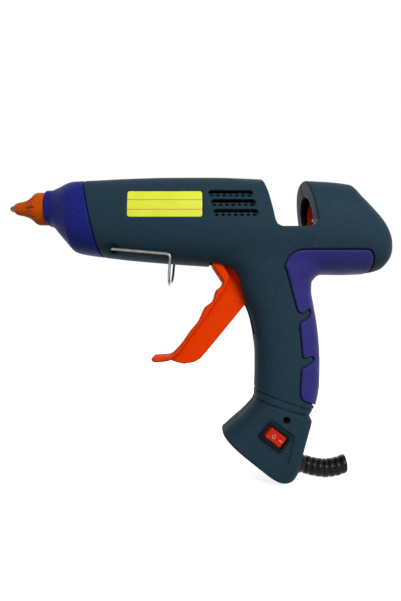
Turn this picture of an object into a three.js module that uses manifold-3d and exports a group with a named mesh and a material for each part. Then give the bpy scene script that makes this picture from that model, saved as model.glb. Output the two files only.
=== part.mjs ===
// A pistol-shaped hot glue gun for 11 mm sticks, in millimetres.
// The nozzle points along -X, the handle hangs down along -Z, and the casing parts on the plane Y = 0.
import * as THREE from "three";
import { mergeVertices } from "three/addons/utils/BufferGeometryUtils.js";
import Module from "manifold-3d";

const wasm = await Module();
wasm.setup();

// Driving dimensions of the whole gun
const LENGTH = 236.8; // nozzle tip to the back of the housing
const HEIGHT = 186.8; // under the cord relief to the top of the barrel
const BARREL_WIDTH = 48;
const HANDLE_WIDTH = 35;
const WALL = 2.5; // of the casing
const GAP = 0.3; // between parts that touch
const OVERRUN = 30; // how far a cut runs past what it cuts

// Glue stick and what it passes through
const STICK_RADIUS = 5.5;
const STICK_PLAY = 1.2;
const GUIDE_WALL = 2;
const SLEEVE_WALL = 1.6;
const SLEEVE_PLAY = 0.6;

// Loading gap in the top of the housing
const GAP_LENGTH = 24.5; // along the barrel, low down
const GAP_LEAN = 6.8; // how far forwards its front wall leans over the gap's height
const GAP_REAR_LEAN = 5.2; // the same for its rear wall
const GAP_CORNER = 4;
const GAP_CORNER_CUT = 1.3; // from the corner to where its two bevels meet
const ARCH_RADIUS = 15; // of the tunnel in its rear wall
const ARCH_RISE = 8.2; // of the arch's centre above the floor

// Nozzle and its cap
const TIP_RADIUS = 1.4;
const TIP_CONE = 3.9;
const TIP_BASE_RADIUS = 2.8;
const NOZZLE_NECK = 6; // straight part behind the tip's cone
const NOZZLE_NECK_RADIUS = 3.2;
const MELT_RADIUS = 2; // of the way from chamber to tip
const NOZZLE_FLANGE = 3;
const STUB_RADIUS = 4;
const STUB_LENGTH = 12;
const ORIFICE_RADIUS = 0.8;
const CAP_RADIUS = 10.1;
const CAP_REVEAL = 3.5; // how much of the nozzle it leaves bare
const CAP_GROOVES = 10;
const CAP_GROOVE_RADIUS = 0.75;
const CAP_GROOVE_LENGTH = 10;
const CAP_GROOVE_SLOPE = 26; // degrees, against the axis
const SPIGOT_WALL = 1.25; // of the collar's spigot
const SPIGOT_LENGTH = 3.6;

// Heating chamber
const CHAMBER_RADIUS = 9.3;
const CHAMBER_FRONT_RADIUS = 5.6;
const CHAMBER_SPIGOT_RADIUS = 7.2;
const CHAMBER_SPIGOT = 8;
const POCKET_WIDTH = 25; // of the block under the chamber that holds the heater
const POCKET_DROP = 18.5; // of the block's underside below the axis
const POCKET_FLOOR = 2.4;
const SLOT_WIDTH = 18;
const HEATER_THICKNESS = 2.1;
const ELECTRODE_THICKNESS = 0.6;
const ELECTRODE_TAB = 6;
const TAB_WIDTH = 5;
const BULKHEAD_THICKNESS = 3;
const LEAD_GATE = 20; // width of the opening for leads in a bulkhead

// Trigger
const TRIGGER_SWING = 26; // degrees
const TRIGGER_ARM = 16; // from its pin to the cross pin on top
const PLATE_WIDTH = 19; // of the finger plate
const WEB_WIDTH = 9;
const HUB_RADIUS = 6;
const PIN_RADIUS = 2;
const CROSS_PIN_RADIUS = 1.75;
const CROSS_PIN_LENGTH = 16;
const ARM_WIDTH = 8;
const ARM_DEPTH = 6;
const TRIGGER_PLAY = 0.6;
const FORK_ROOM = 0.9; // over the trigger's arm
const PIN_BOSS_WALL = 2;

// Feed carriage, its jaw and its spring
const RAIL_WIDTH = 22;
const RAIL_THICKNESS = 3.5;
const FORK_WIDTH = 16;
const FORK_LENGTH = 10;
const FORK_DROP = 6;
const BLOCK_WIDTH = 24;
const BLOCK_LENGTH = 11.5;
const BLOCK_OVER_STICK = 6.2; // top of the block above the axis
const JAW_WIDTH = 6;
const JAW_PIN_RADIUS = 1.2;
const JAW_PIN_LENGTH = 14;
const JAW_PIN_INSET = 3.6; // from the block's back
const JAW_PIN_RISE = 3.6; // above the gap's floor
const JAW_SETBACK = 0.6; // of its tooth behind the block's front
const JAW_OPENING = 0.9; // of its tooth below the stick
const SPRING_RADIUS = 3;
const SPRING_WIRE = 0.4; // radius of the spring's wire
const SPRING_TURNS = 9;
const NUB_LENGTH = 3;
const NUB_SETBACK = 7.5; // ahead of the gap's rear wall
const POST_RADIUS = 2;

// Grip skins and label
const SKIN_THICKNESS = 1.2;
const LABEL_THICKNESS = 0.3;
const LABEL_DEPTH = 0.6; // of the bed that it lies in
const LABEL_HEIGHT = 15.4;

// Vents: rows of small holes, each row in a shallow bed
const VENT_ROWS = 3;
const VENT_COLUMNS = 7;
const VENT_LENGTH = 26;
const VENT_HEIGHT = 4.2;
const VENT_PITCH = 5.8; // from row to row
const VENT_DEPTH = 1.2; // of the bed
const VENT_HOLE_LENGTH = 1.9;
const VENT_HOLE_HEIGHT = 1.3;
const VENT_LINE = 1.05; // of each line of holes above or below the middle of its row
const VENT_REACH = 10; // of the holes' cuts in from the barrel's full width
const VENT_STEP = 1.4; // how much further back each lower row starts

// Wire stand
const WIRE_RADIUS = 0.85;
const WIRE_BEND = 3;
const STAND_LEG = 34.5;
const STAND_DROP = 17.6;
const STAND_FOOT_BEND = 14;
const STAND_LEAN = 1.5; // how far its foot leans towards the nose
const STAND_STUB = 5.4; // how far its ends turn in
const STAND_PLAY = 0.3;

// Switch
const BEZEL_LENGTH = 16.2;
const BEZEL_WIDTH = 10.9;
const BEZEL_THICKNESS = 1.4;
const ROCKER_LENGTH = 12.3;
const ROCKER_WIDTH = 6.8;
const ROCKER_RISE = 1.6; // of the rocker's ridge ends above the bezel
const ROCKER_TILT = 9; // degrees each way
const SWITCH_DEPTH = 13;
const SWITCH_TURN = 38; // degrees, its long side against the barrel
const SWITCH_RIM = 1.6; // of its body inside the bezel
const SWITCH_MARGIN = 0.9; // of the flat round its bezel
const ROCKER_PLAY = 0.45; // at each end
const ROCKER_HEIGHT = 2.4; // of the low middle of its face above its axis
const TERMINAL_SPAN = 7.3;
const TERMINAL_LENGTH = 6;
const TERMINAL_WIDTH = 3.4;
const TERMINAL_THICKNESS = 0.8;

// Cord relief and clamp
const RELIEF_RADIUS = 5.6;
const RELIEF_GROOVE_RADIUS = 4.5;
const RELIEF_NECK_RADIUS = 3.9;
const RELIEF_ROOT_RADIUS = 7.2;
const RELIEF_BORE = 3.3;
const RELIEF_FLANGE_RADIUS = 5;
const RELIEF_RIBS = 7;
const CLAMP_LENGTH = 12;
const CLAMP_SPAN = 7.2; // between its screws
const CLAMP_WIDTH = 5;
const CLAMP_THICKNESS = 2.5;
const CLAMP_ROOM = 5.4; // half the width of the room left for it
const CLAMP_SCREW_RADIUS = 1.2;
const CLAMP_SCREW_LENGTH = 8;
const CLAMP_HEAD_RADIUS = 2.1;
const CLAMP_HEAD = 1.4;
const CLAMP_POST_RADIUS = 2.6;

// Fasteners and leads
const SCREW_RADIUS = 1.4;
const SCREW_HEAD_RADIUS = 2.7;
const FOOT_HEAD_RADIUS = 1.8; // of the foot's screw
const SCREW_HEAD = 2;
const SCREW_LENGTH = 14;
const SCREW_TIP_ROOM = 0.9;
const SCREW_SEAT = 7; // of the head's underside from the parting plane
const BOSS_RADIUS = 4.2;
const LEAD_RADIUS = 1;

// Facets
const RING = 20;
const INNER_RING = 12;
const ROUND = 20;
const SMALL_ROUND = 10;
const STADIUM_STEPS = 4;
const SEAM_STEPS = 6;
const BEND_STEPS = 5;
const WELD = 1e-3; // points nearer than this are one point
const SPRING_STEPS = 7;
const SPRING_FACETS = 6; // for each turn
const RELIEF_RING = 12;
const GROOVE_FACETS = 6;
const LEAD_FACETS = 6;
const WIRE_FACETS = 8;
const FULL_TURN = 2 * Math.PI;

// Stations of the barrel and rear housing, front to back: where along the length, top, underside, half width
const BARREL_SHARES = [
  [-0.3995, 0.9593, 0.8474, 0.438],
  [-0.397, 0.9604, 0.8448, 0.462],
  [-0.3822, 0.9609, 0.837, 0.5],
  [-0.3695, 0.9655, 0.8204, 0.588],
  [-0.3547, 0.9727, 0.7982, 0.704],
  [-0.3387, 0.9813, 0.7752, 0.833],
  [-0.3222, 0.9861, 0.7543, 0.942],
  [-0.2956, 0.9877, 0.7463, 0.983],
  [-0.2614, 0.9898, 0.7404, 0.996],
  [-0.1845, 0.9952, 0.7286, 1.0],
  [-0.0781, 0.9995, 0.7168, 1.0],
  [0.0363, 1.0, 0.7066, 1.0],
  [0.1689, 0.9941, 0.6954, 1.0],
  [0.2787, 0.9893, 0.6842, 1.0],
  [0.3843, 0.9775, 0.6815, 0.992],
  [0.4117, 0.9438, 0.6815, 0.975],
  [0.4434, 0.9004, 0.6825, 0.925],
  [0.4666, 0.8672, 0.6884, 0.825],
  [0.4814, 0.8394, 0.7029, 0.679],
  [0.4932, 0.8105, 0.7259, 0.458],
  [0.5, 0.7885, 0.7575, 0.167],
];
// Stations of the handle and its foot, top to bottom: front edge, back edge, half width
const GRIP_SHARES = [
  [0.0507, 0.7816, 0.3252, 0.7816, 1.2],
  [0.057, 0.7227, 0.3231, 0.7013, 1.171],
  [0.0735, 0.7024, 0.3104, 0.6729, 1.143],
  [0.0908, 0.6729, 0.2956, 0.6515, 1.109],
  [0.1048, 0.6301, 0.2922, 0.6247, 1.063],
  [0.1199, 0.5846, 0.2998, 0.5766, 1.029],
  [0.1343, 0.5364, 0.3079, 0.5203, 1.006],
  [0.1432, 0.4802, 0.3142, 0.4588, 0.994],
  [0.1486, 0.424, 0.318, 0.3919, 0.994],
  [0.1486, 0.3544, 0.3167, 0.3223, 1.006],
  [0.1478, 0.3116, 0.3108, 0.2794, 1.017],
  [0.1474, 0.2928, 0.3011, 0.2446, 1.029],
  [0.147, 0.2762, 0.2889, 0.2152, 1.046],
  [0.1465, 0.2698, 0.288, 0.2061, 1.063],
  [0.1271, 0.2355, 0.2791, 0.1633, 1.097],
  [0.0954, 0.2002, 0.2618, 0.091, 1.131],
  [0.0815, 0.1863, 0.2487, 0.0407, 1.143],
  [0.0718, 0.1756, 0.2306, 0.0166, 1.143],
  [0.065, 0.1686, 0.2149, 0.0134, 1.126],
  [0.0642, 0.1633, 0.2061, 0.015, 1.086],
  [0.0684, 0.1552, 0.1926, 0.0209, 1.029],
];
const GRIP_HOLLOW_END = 3; // stations of the foot that its hollow doesn't reach
const BARREL_ROUNDNESS = 2.4; // 2 is an ellipse, more is squarer
const GRIP_ROUNDNESS = 2.6;
const FOOT_ROUNDNESS = 3.4;
const SEAM_STATION = 13; // of the handle, where the foot begins

// Turned outline of the cap's outside, as shares of its length and its largest radius
const CAP_SHARES = [
  [0, 0.35],
  [0.03, 0.375],
  [0.115, 0.405],
  [0.245, 0.45],
  [0.37, 0.535],
  [0.47, 0.645],
  [0.55, 0.76],
  [0.615, 0.88],
  [0.685, 0.975],
  [0.735, 1],
  [1, 1],
];
const CAP_GROOVE_SHARES = [0.52, 0.8];
// Underside of the rocker, as shares of half its length
const ROCKER_SHARES = [
  [-1, 0],
  [-0.7, -0.7],
  [0, -1],
  [0.7, -0.7],
  [1, 0],
];
const RIB_SHARES = [0, 0.2, 0.28, 0.95]; // of one rib's pitch: groove from, groove to, rib from, rib to
const PIN_LENGTH_SHARE = 0.6875; // of the trigger's pin, against the barrel's width
const STAND_WIDTH_SHARE = 0.779; // between the centre lines of the stand's legs, against the same
const SWITCH_FACE_SHARE = 1.0629; // of the flat for the switch, from the middle, against half the handle
const ALONG_SHARE = 0.99; // two directions are taken as one from here

// Places along the length and the height
const AXIS_SHARE = 0.9015;
const GAP_FRONT_SHARE = 0.1867;
const GAP_FLOOR_SHARE = 0.824;
const SEAM_SHARES = { top: [-0.302, 1.02], middle: [-0.2677, 0.8887], bottom: [-0.247, 0.7] };
const PIVOT_SHARES = [0.1267, 0.7013];
const STAND_SHARES = [-0.2154, 0.7564];
const SWITCH_SHARES = [0.1892, 0.1663];
// The flat sunk round the switch, against its middle
const SWITCH_BED_SHARES = [
  [-0.0456, 0.0028],
  [-0.0389, -0.017],
  [0.0228, -0.0871],
  [0.0338, -0.0812],
  [0.0473, -0.0004],
  [0.0414, 0.006],
  [-0.0118, 0.0569],
  [-0.0177, 0.0553],
];
const SCREW_SHARES = [
  [-0.1351, 0.7725],
  [0.0085, 0.803],
  [0.1943, 0.7173],
  [0.38, 0.7163],
  [0.245, 0.4925],
  [0.2365, 0.3426],
];
const FOOT_SCREW_SHARES = [0.2175, 0.2163];
const LABEL_SHARES = { front: -0.1744, back: 0.0089, middle: 0.8919 };
const VENT_SHARES = [0.0228, 0.923];
const SPRING_SHARES = { post: 0.4244, height: 0.7548 };
const CHAMBER_SHARES = { front: -0.3843, back: -0.114 };
const POCKET_SHARES = { front: -0.3243, back: -0.1774 };
const BULKHEAD_SHARES = [-0.2365, -0.1689];
const SLEEVE_BACK_SHARE = -0.0591;
const GUIDE_RIB_SHARES = [-0.0085, 0.076];
const BLOCK_SHARE = 0.3;
const CLAMP_SHARES = [0.1795, 0.1071];
// The cord relief's centre line, from inside the foot to its open end
const RELIEF_SHARES = [
  [0.2154, 0.0642],
  [0.2407, 0.0557],
  [0.277, 0.0439],
  [0.3087, 0.0337],
  [0.3345, 0.03],
  [0.3598, 0.0337],
  [0.3885, 0.046],
];
const RELIEF_FLANGE_SHARE = 0.04; // of that line, to the end of the inner flange
const RELIEF_ROOT_SHARE = 0.14; // to the root, which the foot cuts off
const RELIEF_TAPER_SHARE = 0.34; // to the end of the cone behind the root
const RELIEF_CONE_SHARE = 0.36; // to the first groove
// Centre lines of the leads, as shares of length, handle width and height
const LEAD_SHARES = {
  live: [
    [0.2052, -0.04, 0.0707],
    [0.1816, -0.0457, 0.1097],
    [0.152, 0.0285, 0.166],
    [0.1689, 0.2286, 0.2409],
    [0.1921, 0.3286, 0.3426],
    [0.1943, 0.3429, 0.4925],
    [0.1689, 0.3856, 0.6317],
    [0.1605, 0.4143, 0.7173],
    [0.1267, 0.4057, 0.7559],
    [0.0127, 0.3429, 0.7591],
    [-0.076, 0.2571, 0.7816],
    [-0.1267, 0.1886, 0.8255],
    [-0.1461, 0.1772, 0.8389],
  ],
  feed: [
    [0.2044, 0.0428, 0.0717],
    [0.2137, 0.0343, 0.1044],
    [0.2065, 0.0457, 0.141],
    [0.1981, 0.0543, 0.1578],
  ],
  switched: [
    [0.1732, 0.0514, 0.1845],
    [0.1722, 0, 0.2115],
    [0.1774, -0.2, 0.257],
    [0.1921, -0.3286, 0.3426],
    [0.1943, -0.3429, 0.4925],
    [0.1689, -0.3856, 0.6317],
    [0.1605, -0.4143, 0.7173],
    [0.1267, -0.4057, 0.7559],
    [0.0127, -0.3429, 0.7591],
    [-0.076, -0.2571, 0.7816],
    [-0.1267, -0.1886, 0.8137],
    [-0.1461, -0.1772, 0.8212],
  ],
};
// Outline of the grip skin, clockwise from its front top corner
const SKIN_SHARES = [
  [0.2576, 0.75],
  [0.416, 0.75],
  [0.4312, 0.7313],
  [0.416, 0.6745],
  [0.416, 0.6424],
  [0.3378, 0.5889],
  [0.3547, 0.3212],
  [0.3378, 0.2355],
  [0.2821, 0.2655],
  [0.2614, 0.2768],
  [0.253, 0.2992],
  [0.2568, 0.3715],
  [0.2597, 0.3774],
  [0.2775, 0.3897],
  [0.291, 0.4036],
  [0.2838, 0.4154],
  [0.2682, 0.4106],
  [0.2597, 0.417],
  [0.2525, 0.5134],
  [0.2559, 0.5241],
  [0.2682, 0.5316],
  [0.2825, 0.5503],
  [0.2766, 0.5658],
  [0.2639, 0.5557],
  [0.2538, 0.5541],
  [0.2462, 0.5632],
  [0.2188, 0.6825],
  [0.2149, 0.7077],
  [0.2217, 0.7334],
  [0.2373, 0.7463],
];
// Finger plate, from where it enters the casing round its lip and back, against the pivot
const PLATE_OUTER_SHARES = [
  [-0.0823, 0.053],
  [-0.0895, 0.0305],
  [-0.0921, 0.0075],
  [-0.0646, -0.0471],
  [-0.07, -0.062],
  [-0.0815, -0.0744],
  [-0.0875, -0.098],
  [-0.0925, -0.113],
  [-0.1111, -0.1317],
  [-0.122, -0.16],
  [-0.1305, -0.1815],
  [-0.1503, -0.2115],
  [-0.1677, -0.2436],
  [-0.1854, -0.2709],
  [-0.2048, -0.2896],
  [-0.2458, -0.2939],
  [-0.25, -0.3019],
  [-0.2407, -0.311],
  [-0.2031, -0.3051],
];
const PLATE_INNER_SHARES = [
  [-0.1778, -0.281],
  [-0.152, -0.2361],
  [-0.1208, -0.1842],
  [-0.0836, -0.1194],
  [-0.0541, -0.0567],
  [-0.0481, -0.03],
  [-0.0595, 0.0032],
  [-0.0663, 0.0428],
];
const WEB_SHARES = [
  [-0.0608, 0.0139],
  [-0.012, 0.03],
  [0.018, 0],
  [0.0127, -0.1017],
  [-0.0017, -0.1178],
  [-0.0093, -0.1263],
  [-0.1115, -0.2848],
  [-0.122, -0.3003],
  [-0.1389, -0.3126],
  [-0.1655, -0.3185],
  [-0.1862, -0.3132],
  [-0.2031, -0.3041],
  [-0.17, -0.262],
  [-0.1292, -0.1915],
  [-0.09, -0.126],
  [-0.0541, -0.0567],
  [-0.052, -0.035],
];
// The slot in the casing that the trigger swings in, against the pivot
const TRIGGER_SLOT_SHARES = [
  [-0.103, 0.08],
  [0.02, 0.08],
  [0.02, -0.06],
  [-0.103, -0.06],
];
// The narrower slot down the front of the handle for the trigger's web, against the pivot
const WEB_SLOT_SHARES = [
  [-0.04, 0],
  [0.03, 0],
  [0.045, -0.06],
  [0.042, -0.15],
  [0.034, -0.2216],
  [-0.04, -0.2216],
];

const axisZ = AXIS_SHARE * HEIGHT;
const gapFloor = GAP_FLOOR_SHARE * HEIGHT;
const gapFront = GAP_FRONT_SHARE * LENGTH;
const gapRear = gapFront + GAP_LENGTH;
const guideBack = gapFront - GAP_LEAN - WALL; // of the stick guide
const place = ([along, up]) => [along * LENGTH, up * HEIGHT];
const [pivotX, pivotZ] = place(PIVOT_SHARES);
const degrees = THREE.MathUtils.degToRad;
const pinHalf = (PIN_LENGTH_SHARE * BARREL_WIDTH) / 2;

// Solids from three.js geometry, and back
function solid(geometry) {
  const bare = geometry.index ? geometry.toNonIndexed() : geometry.clone();
  for (const name of Object.keys(bare.attributes)) if (name !== "position") bare.deleteAttribute(name);
  const merged = mergeVertices(bare, WELD);
  return new wasm.Manifold(
    new wasm.Mesh({
      numProp: 3,
      vertProperties: merged.attributes.position.array,
      triVerts: new Uint32Array(merged.index.array),
    }),
  );
}

function geometryOf(made) {
  const mesh = made.getMesh();
  const geometry = new THREE.BufferGeometry();
  geometry.setAttribute("position", new THREE.BufferAttribute(new Float32Array(mesh.vertProperties), 3));
  geometry.setIndex(new THREE.BufferAttribute(new Uint32Array(mesh.triVerts), 1));
  geometry.computeVertexNormals();
  return geometry;
}

const join = (...solids) => solids.reduce((all, next) => all.add(next));

function box(fromX, toX, fromY, toY, fromZ, toZ) {
  const geometry = new THREE.BoxGeometry(toX - fromX, toY - fromY, toZ - fromZ);
  geometry.translate((fromX + toX) / 2, (fromY + toY) / 2, (fromZ + toZ) / 2);
  return solid(geometry);
}

// A profile of [x, z] points, pushed from one Y to another
function prism(points, fromY, toY) {
  const shape = new THREE.Shape(points.map(([x, z]) => new THREE.Vector2(x, z)));
  const geometry = new THREE.ExtrudeGeometry(shape, { depth: toY - fromY, bevelEnabled: false });
  geometry.rotateX(Math.PI / 2);
  geometry.translate(0, toY, 0);
  return solid(geometry);
}

function cylinderY(radius, x, z, fromY, toY, facets = ROUND) {
  const geometry = new THREE.CylinderGeometry(radius, radius, toY - fromY, facets);
  geometry.translate(x, (fromY + toY) / 2, z);
  return solid(geometry);
}

// A turned solid about the gun's axis, from [x, radius] points along it
function turned(points, facets = ROUND) {
  const profile = points.map(([x, radius]) => new THREE.Vector2(radius, x));
  const geometry = new THREE.LatheGeometry([...profile, profile[0]], facets);
  geometry.rotateZ(-Math.PI / 2);
  geometry.translate(0, 0, axisZ);
  const made = solid(geometry);
  return made;
}

// A closed solid through rings of points, with flat ends
function loft(rings) {
  const count = rings[0].length;
  const positions = rings.flat().flatMap((point) => [point.x, point.y, point.z]);
  const ends = [rings[0], rings[rings.length - 1]];
  for (const ring of ends) {
    const middle = ring.reduce((sum, point) => sum.add(point), new THREE.Vector3()).divideScalar(count);
    positions.push(middle.x, middle.y, middle.z);
  }
  const first = rings.length * count;
  const faces = [];
  for (let i = 0; i < count; i++) {
    const next = (i + 1) % count;
    for (let row = 0; row + 1 < rings.length; row++) {
      const here = row * count;
      const beyond = here + count;
      faces.push(here + i, here + next, beyond + next, here + i, beyond + next, beyond + i);
    }
    faces.push(first, next, i, first + 1, first - count + i, first - count + next);
  }
  const geometry = new THREE.BufferGeometry();
  geometry.setAttribute("position", new THREE.Float32BufferAttribute(positions, 3));
  geometry.setIndex(faces);
  return solid(geometry);
}

// A point of a ring between an ellipse and a rectangle, as shares of its two half sizes
function ringShare(turn, roundness) {
  const bend = (value) => Math.sign(value) * Math.abs(value) ** (2 / roundness);
  return [bend(Math.cos(turn)), bend(Math.sin(turn))];
}

// The barrel and rear housing, drawn in by inset on every side
function barrelForm(inset, facets = RING) {
  const rings = BARREL_SHARES.map(([along, top, under, side], station) => {
    const atEnd = station === BARREL_SHARES.length - 1;
    const high = top * HEIGHT - (atEnd ? 0 : inset);
    const low = under * HEIGHT + (atEnd ? 0 : inset);
    const half = Math.max((side * BARREL_WIDTH) / 2 - inset, GAP);
    const x = along * LENGTH - (along > 0 ? (inset * along) / BARREL_SHARES.at(-1)[0] : 0);
    return Array.from({ length: facets }, (_, i) => {
      const [up, across] = ringShare((i / facets) * FULL_TURN, BARREL_ROUNDNESS);
      return new THREE.Vector3(x, -across * half, (high + low) / 2 + (up * (high - low)) / 2);
    });
  });
  return loft(rings);
}

// The handle and its foot, drawn in by inset; its hollow stops short of the foot's base
function gripForm(inset, facets = RING) {
  const stations = inset > SKIN_THICKNESS + GAP ? GRIP_SHARES.slice(0, -GRIP_HOLLOW_END) : GRIP_SHARES;
  const rings = stations.map(([frontX, frontZ, backX, backZ, side], station) => {
    const front = new THREE.Vector3(frontX * LENGTH, 0, frontZ * HEIGHT);
    const back = new THREE.Vector3(backX * LENGTH, 0, backZ * HEIGHT);
    const middle = front.clone().add(back).divideScalar(2);
    const deep = back.clone().sub(middle);
    deep.setLength(deep.length() - inset);
    const half = (side * HANDLE_WIDTH) / 2 - inset;
    const roundness = station < SEAM_STATION ? GRIP_ROUNDNESS : FOOT_ROUNDNESS;
    return Array.from({ length: facets }, (_, i) => {
      const [along, across] = ringShare((i / facets) * FULL_TURN, roundness);
      return middle.clone().addScaledVector(deep, along).add(new THREE.Vector3(0, -across * half, 0));
    });
  });
  return loft(rings);
}

// The line between nose collar and casing, as the edge of a region behind it
function behindSeam(shift) {
  const [top, middle, bottom] = [SEAM_SHARES.top, SEAM_SHARES.middle, SEAM_SHARES.bottom].map(place);
  const curve = new THREE.QuadraticBezierCurve(
    new THREE.Vector2(...top),
    new THREE.Vector2(...middle),
    new THREE.Vector2(...bottom),
  );
  const edge = curve.getPoints(SEAM_STEPS).map((point) => [point.x + shift, point.y]);
  const under = [edge.at(-1)[0], -OVERRUN];
  return prism([...edge, under, [LENGTH, -OVERRUN], [LENGTH, HEIGHT + OVERRUN]], -BARREL_WIDTH, BARREL_WIDTH);
}

const bodyOuter = join(barrelForm(0), gripForm(0));
const bodyBehindSeam = behindSeam(GAP / 2);

// The loading gap, grown by a wall when it stands for the walls round it
function loadingGap(grow) {
  const top = HEIGHT + OVERRUN;
  const floor = gapFloor - grow;
  const front = gapFront - grow;
  const rear = gapRear + grow;
  const rise = (top - gapFloor) / (HEIGHT - gapFloor);
  return prism(
    [
      [front - GAP_LEAN * rise, top],
      [front, floor + GAP_CORNER],
      [front + GAP_CORNER_CUT, floor + GAP_CORNER_CUT],
      [front + GAP_CORNER, floor],
      [rear - GAP_CORNER, floor],
      [rear - GAP_CORNER_CUT, floor + GAP_CORNER_CUT],
      [rear, floor + GAP_CORNER],
      [rear - GAP_REAR_LEAN * rise, top],
    ],
    -BARREL_WIDTH,
    BARREL_WIDTH,
  );
}

// Tunnel through the gap's rear wall, down to its floor
function archTunnel(fromX, toX, inset) {
  const radius = ARCH_RADIUS - inset;
  const centreZ = gapFloor + ARCH_RISE;
  const geometry = new THREE.CylinderGeometry(radius, radius, toX - fromX, ROUND);
  geometry.rotateZ(Math.PI / 2);
  geometry.translate((fromX + toX) / 2, 0, centreZ);
  return join(solid(geometry), box(fromX, toX, -radius, radius, gapFloor + inset, centreZ));
}

function along(radius, fromX, toX, facets = ROUND) {
  return turned(
    [
      [fromX, 0],
      [fromX, radius],
      [toX, radius],
      [toX, 0],
    ],
    facets,
  );
}

function tube(outer, inner, fromX, toX, facets = ROUND) {
  return turned(
    [
      [fromX, inner],
      [fromX, outer],
      [toX, outer],
      [toX, inner],
    ],
    facets,
  );
}

const nearPivot = (shares) => shares.map(([x, z]) => [pivotX + x * LENGTH, pivotZ + z * HEIGHT]);

// Turns a solid about an axis along Y through x, z; a positive angle lifts +X towards +Z
function turnedAboutY(made, x, z, angle) {
  return made.translate(-x, 0, -z).rotate(0, -angle, 0).translate(x, 0, z);
}

// Casing

const guideRadius = STICK_RADIUS + STICK_PLAY + GUIDE_WALL;
const [standX, standZ] = place(STAND_SHARES);
const [switchX, switchZ] = place(SWITCH_SHARES);
const switchFaceY = (-SWITCH_FACE_SHARE * HANDLE_WIDTH) / 2;
const springPostX = SPRING_SHARES.post * LENGTH;
const springZ = SPRING_SHARES.height * HEIGHT;

// An outline with every edge moved outwards by the same distance
function grown(points, distance) {
  const count = points.length;
  const area = points.reduce((sum, [x, z], i) => {
    const [nextX, nextZ] = points[(i + 1) % count];
    return sum + x * nextZ - nextX * z;
  }, 0);
  const out = Math.sign(area) * distance;
  const normal = ([fromX, fromZ], [toX, toZ]) => {
    const length = Math.hypot(toX - fromX, toZ - fromZ);
    return [(toZ - fromZ) / length, (fromX - toX) / length];
  };
  return points.map((point, i) => {
    const [beforeX, beforeZ] = normal(points[(i + count - 1) % count], point);
    const [afterX, afterZ] = normal(point, points[(i + 1) % count]);
    const spread = 1 + beforeX * afterX + beforeZ * afterZ;
    return [point[0] + (out * (beforeX + afterX)) / spread, point[1] + (out * (beforeZ + afterZ)) / spread];
  });
}

function skinRegion(grow) {
  return prism(grown(SKIN_SHARES.map(place), grow), -BARREL_WIDTH, BARREL_WIDTH);
}

// A bed or hole in the switch's own turned frame, from the casing's side inwards
function switchBlock(length, width, fromY, toY) {
  const block = box(
    switchX - length / 2,
    switchX + length / 2,
    fromY,
    toY,
    switchZ - width / 2,
    switchZ + width / 2,
  );
  return turnedAboutY(block, switchX, switchZ, -SWITCH_TURN);
}

function ventCuts(side) {
  const [ventX, ventZ] = place(VENT_SHARES);
  const outside = side * BARREL_WIDTH;
  const inside = side * (BARREL_WIDTH / 2 - VENT_REACH);
  const pitch = (VENT_LENGTH - VENT_HEIGHT) / (VENT_COLUMNS - 1);
  const flat = barrelForm(VENT_DEPTH, INNER_RING);
  const cuts = [];
  for (let row = 0; row < VENT_ROWS; row++) {
    const x = ventX + row * VENT_STEP;
    const z = ventZ - row * VENT_PITCH;
    const outline = stadium(x, z, VENT_LENGTH, VENT_HEIGHT);
    cuts.push(prism(outline, Math.min(0, outside), Math.max(0, outside)).subtract(flat));
    for (let column = 0; column < VENT_COLUMNS; column++) {
      const middle = x + VENT_HEIGHT / 2 + column * pitch;
      for (const line of [-1, 1]) {
        const height = z + line * VENT_LINE;
        cuts.push(
          box(
            middle - VENT_HOLE_LENGTH / 2,
            middle + VENT_HOLE_LENGTH / 2,
            Math.min(inside, outside),
            Math.max(inside, outside),
            height - VENT_HOLE_HEIGHT / 2,
            height + VENT_HOLE_HEIGHT / 2,
          ),
        );
      }
    }
  }
  return cuts;
}

function stadium(x, z, length, height) {
  const shape = [];
  for (const [end, from] of [
    [length - height / 2, -1],
    [height / 2, 1],
  ])
    for (let i = 0; i <= STADIUM_STEPS; i++) {
      const turn = (from * Math.PI) / 2 + (i / STADIUM_STEPS) * Math.PI;
      shape.push([x + end + (Math.cos(turn) * height) / 2, z + (Math.sin(turn) * height) / 2]);
    }
  return shape;
}

const [clampX, clampZ] = place(CLAMP_SHARES);
const clampFar = (side) => {
  const reach = (side * CLAMP_SPAN) / 2;
  return [clampX + reach * Math.cos(degrees(SWITCH_TURN)), clampZ - reach * Math.sin(degrees(SWITCH_TURN))];
};
const screwPlaces = SCREW_SHARES.map(place);
const footScrew = place(FOOT_SCREW_SHARES);

function triggerSlot() {
  const plateHalf = PLATE_WIDTH / 2 + TRIGGER_PLAY;
  const webHalf = WEB_WIDTH / 2 + TRIGGER_PLAY;
  return join(
    prism(nearPivot(TRIGGER_SLOT_SHARES), -plateHalf, plateHalf),
    prism(nearPivot(WEB_SLOT_SHARES), -webHalf, webHalf),
  );
}

// The relief's centre line and its radii
const reliefCurve = new THREE.CatmullRomCurve3(
  RELIEF_SHARES.map(([x, z]) => new THREE.Vector3(x * LENGTH, 0, z * HEIGHT)),
);

function tubeAlong(curve, stations, facets) {
  const rings = stations.map(([share, radius]) => {
    const nearest = Math.min(Math.max(share, 0), 1);
    const tangent = curve.getTangentAt(nearest);
    const centre = curve.getPointAt(nearest).addScaledVector(tangent, (share - nearest) * curve.getLength());
    const side = new THREE.Vector3(0, 1, 0);
    const up = new THREE.Vector3().crossVectors(side, tangent).normalize();
    const across = new THREE.Vector3().crossVectors(tangent, up).normalize();
    return Array.from({ length: facets }, (_, i) => {
      const turn = (i / facets) * FULL_TURN;
      return centre
        .clone()
        .addScaledVector(up, Math.cos(turn) * radius)
        .addScaledVector(across, Math.sin(turn) * radius);
    });
  });
  return loft(rings);
}

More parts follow.
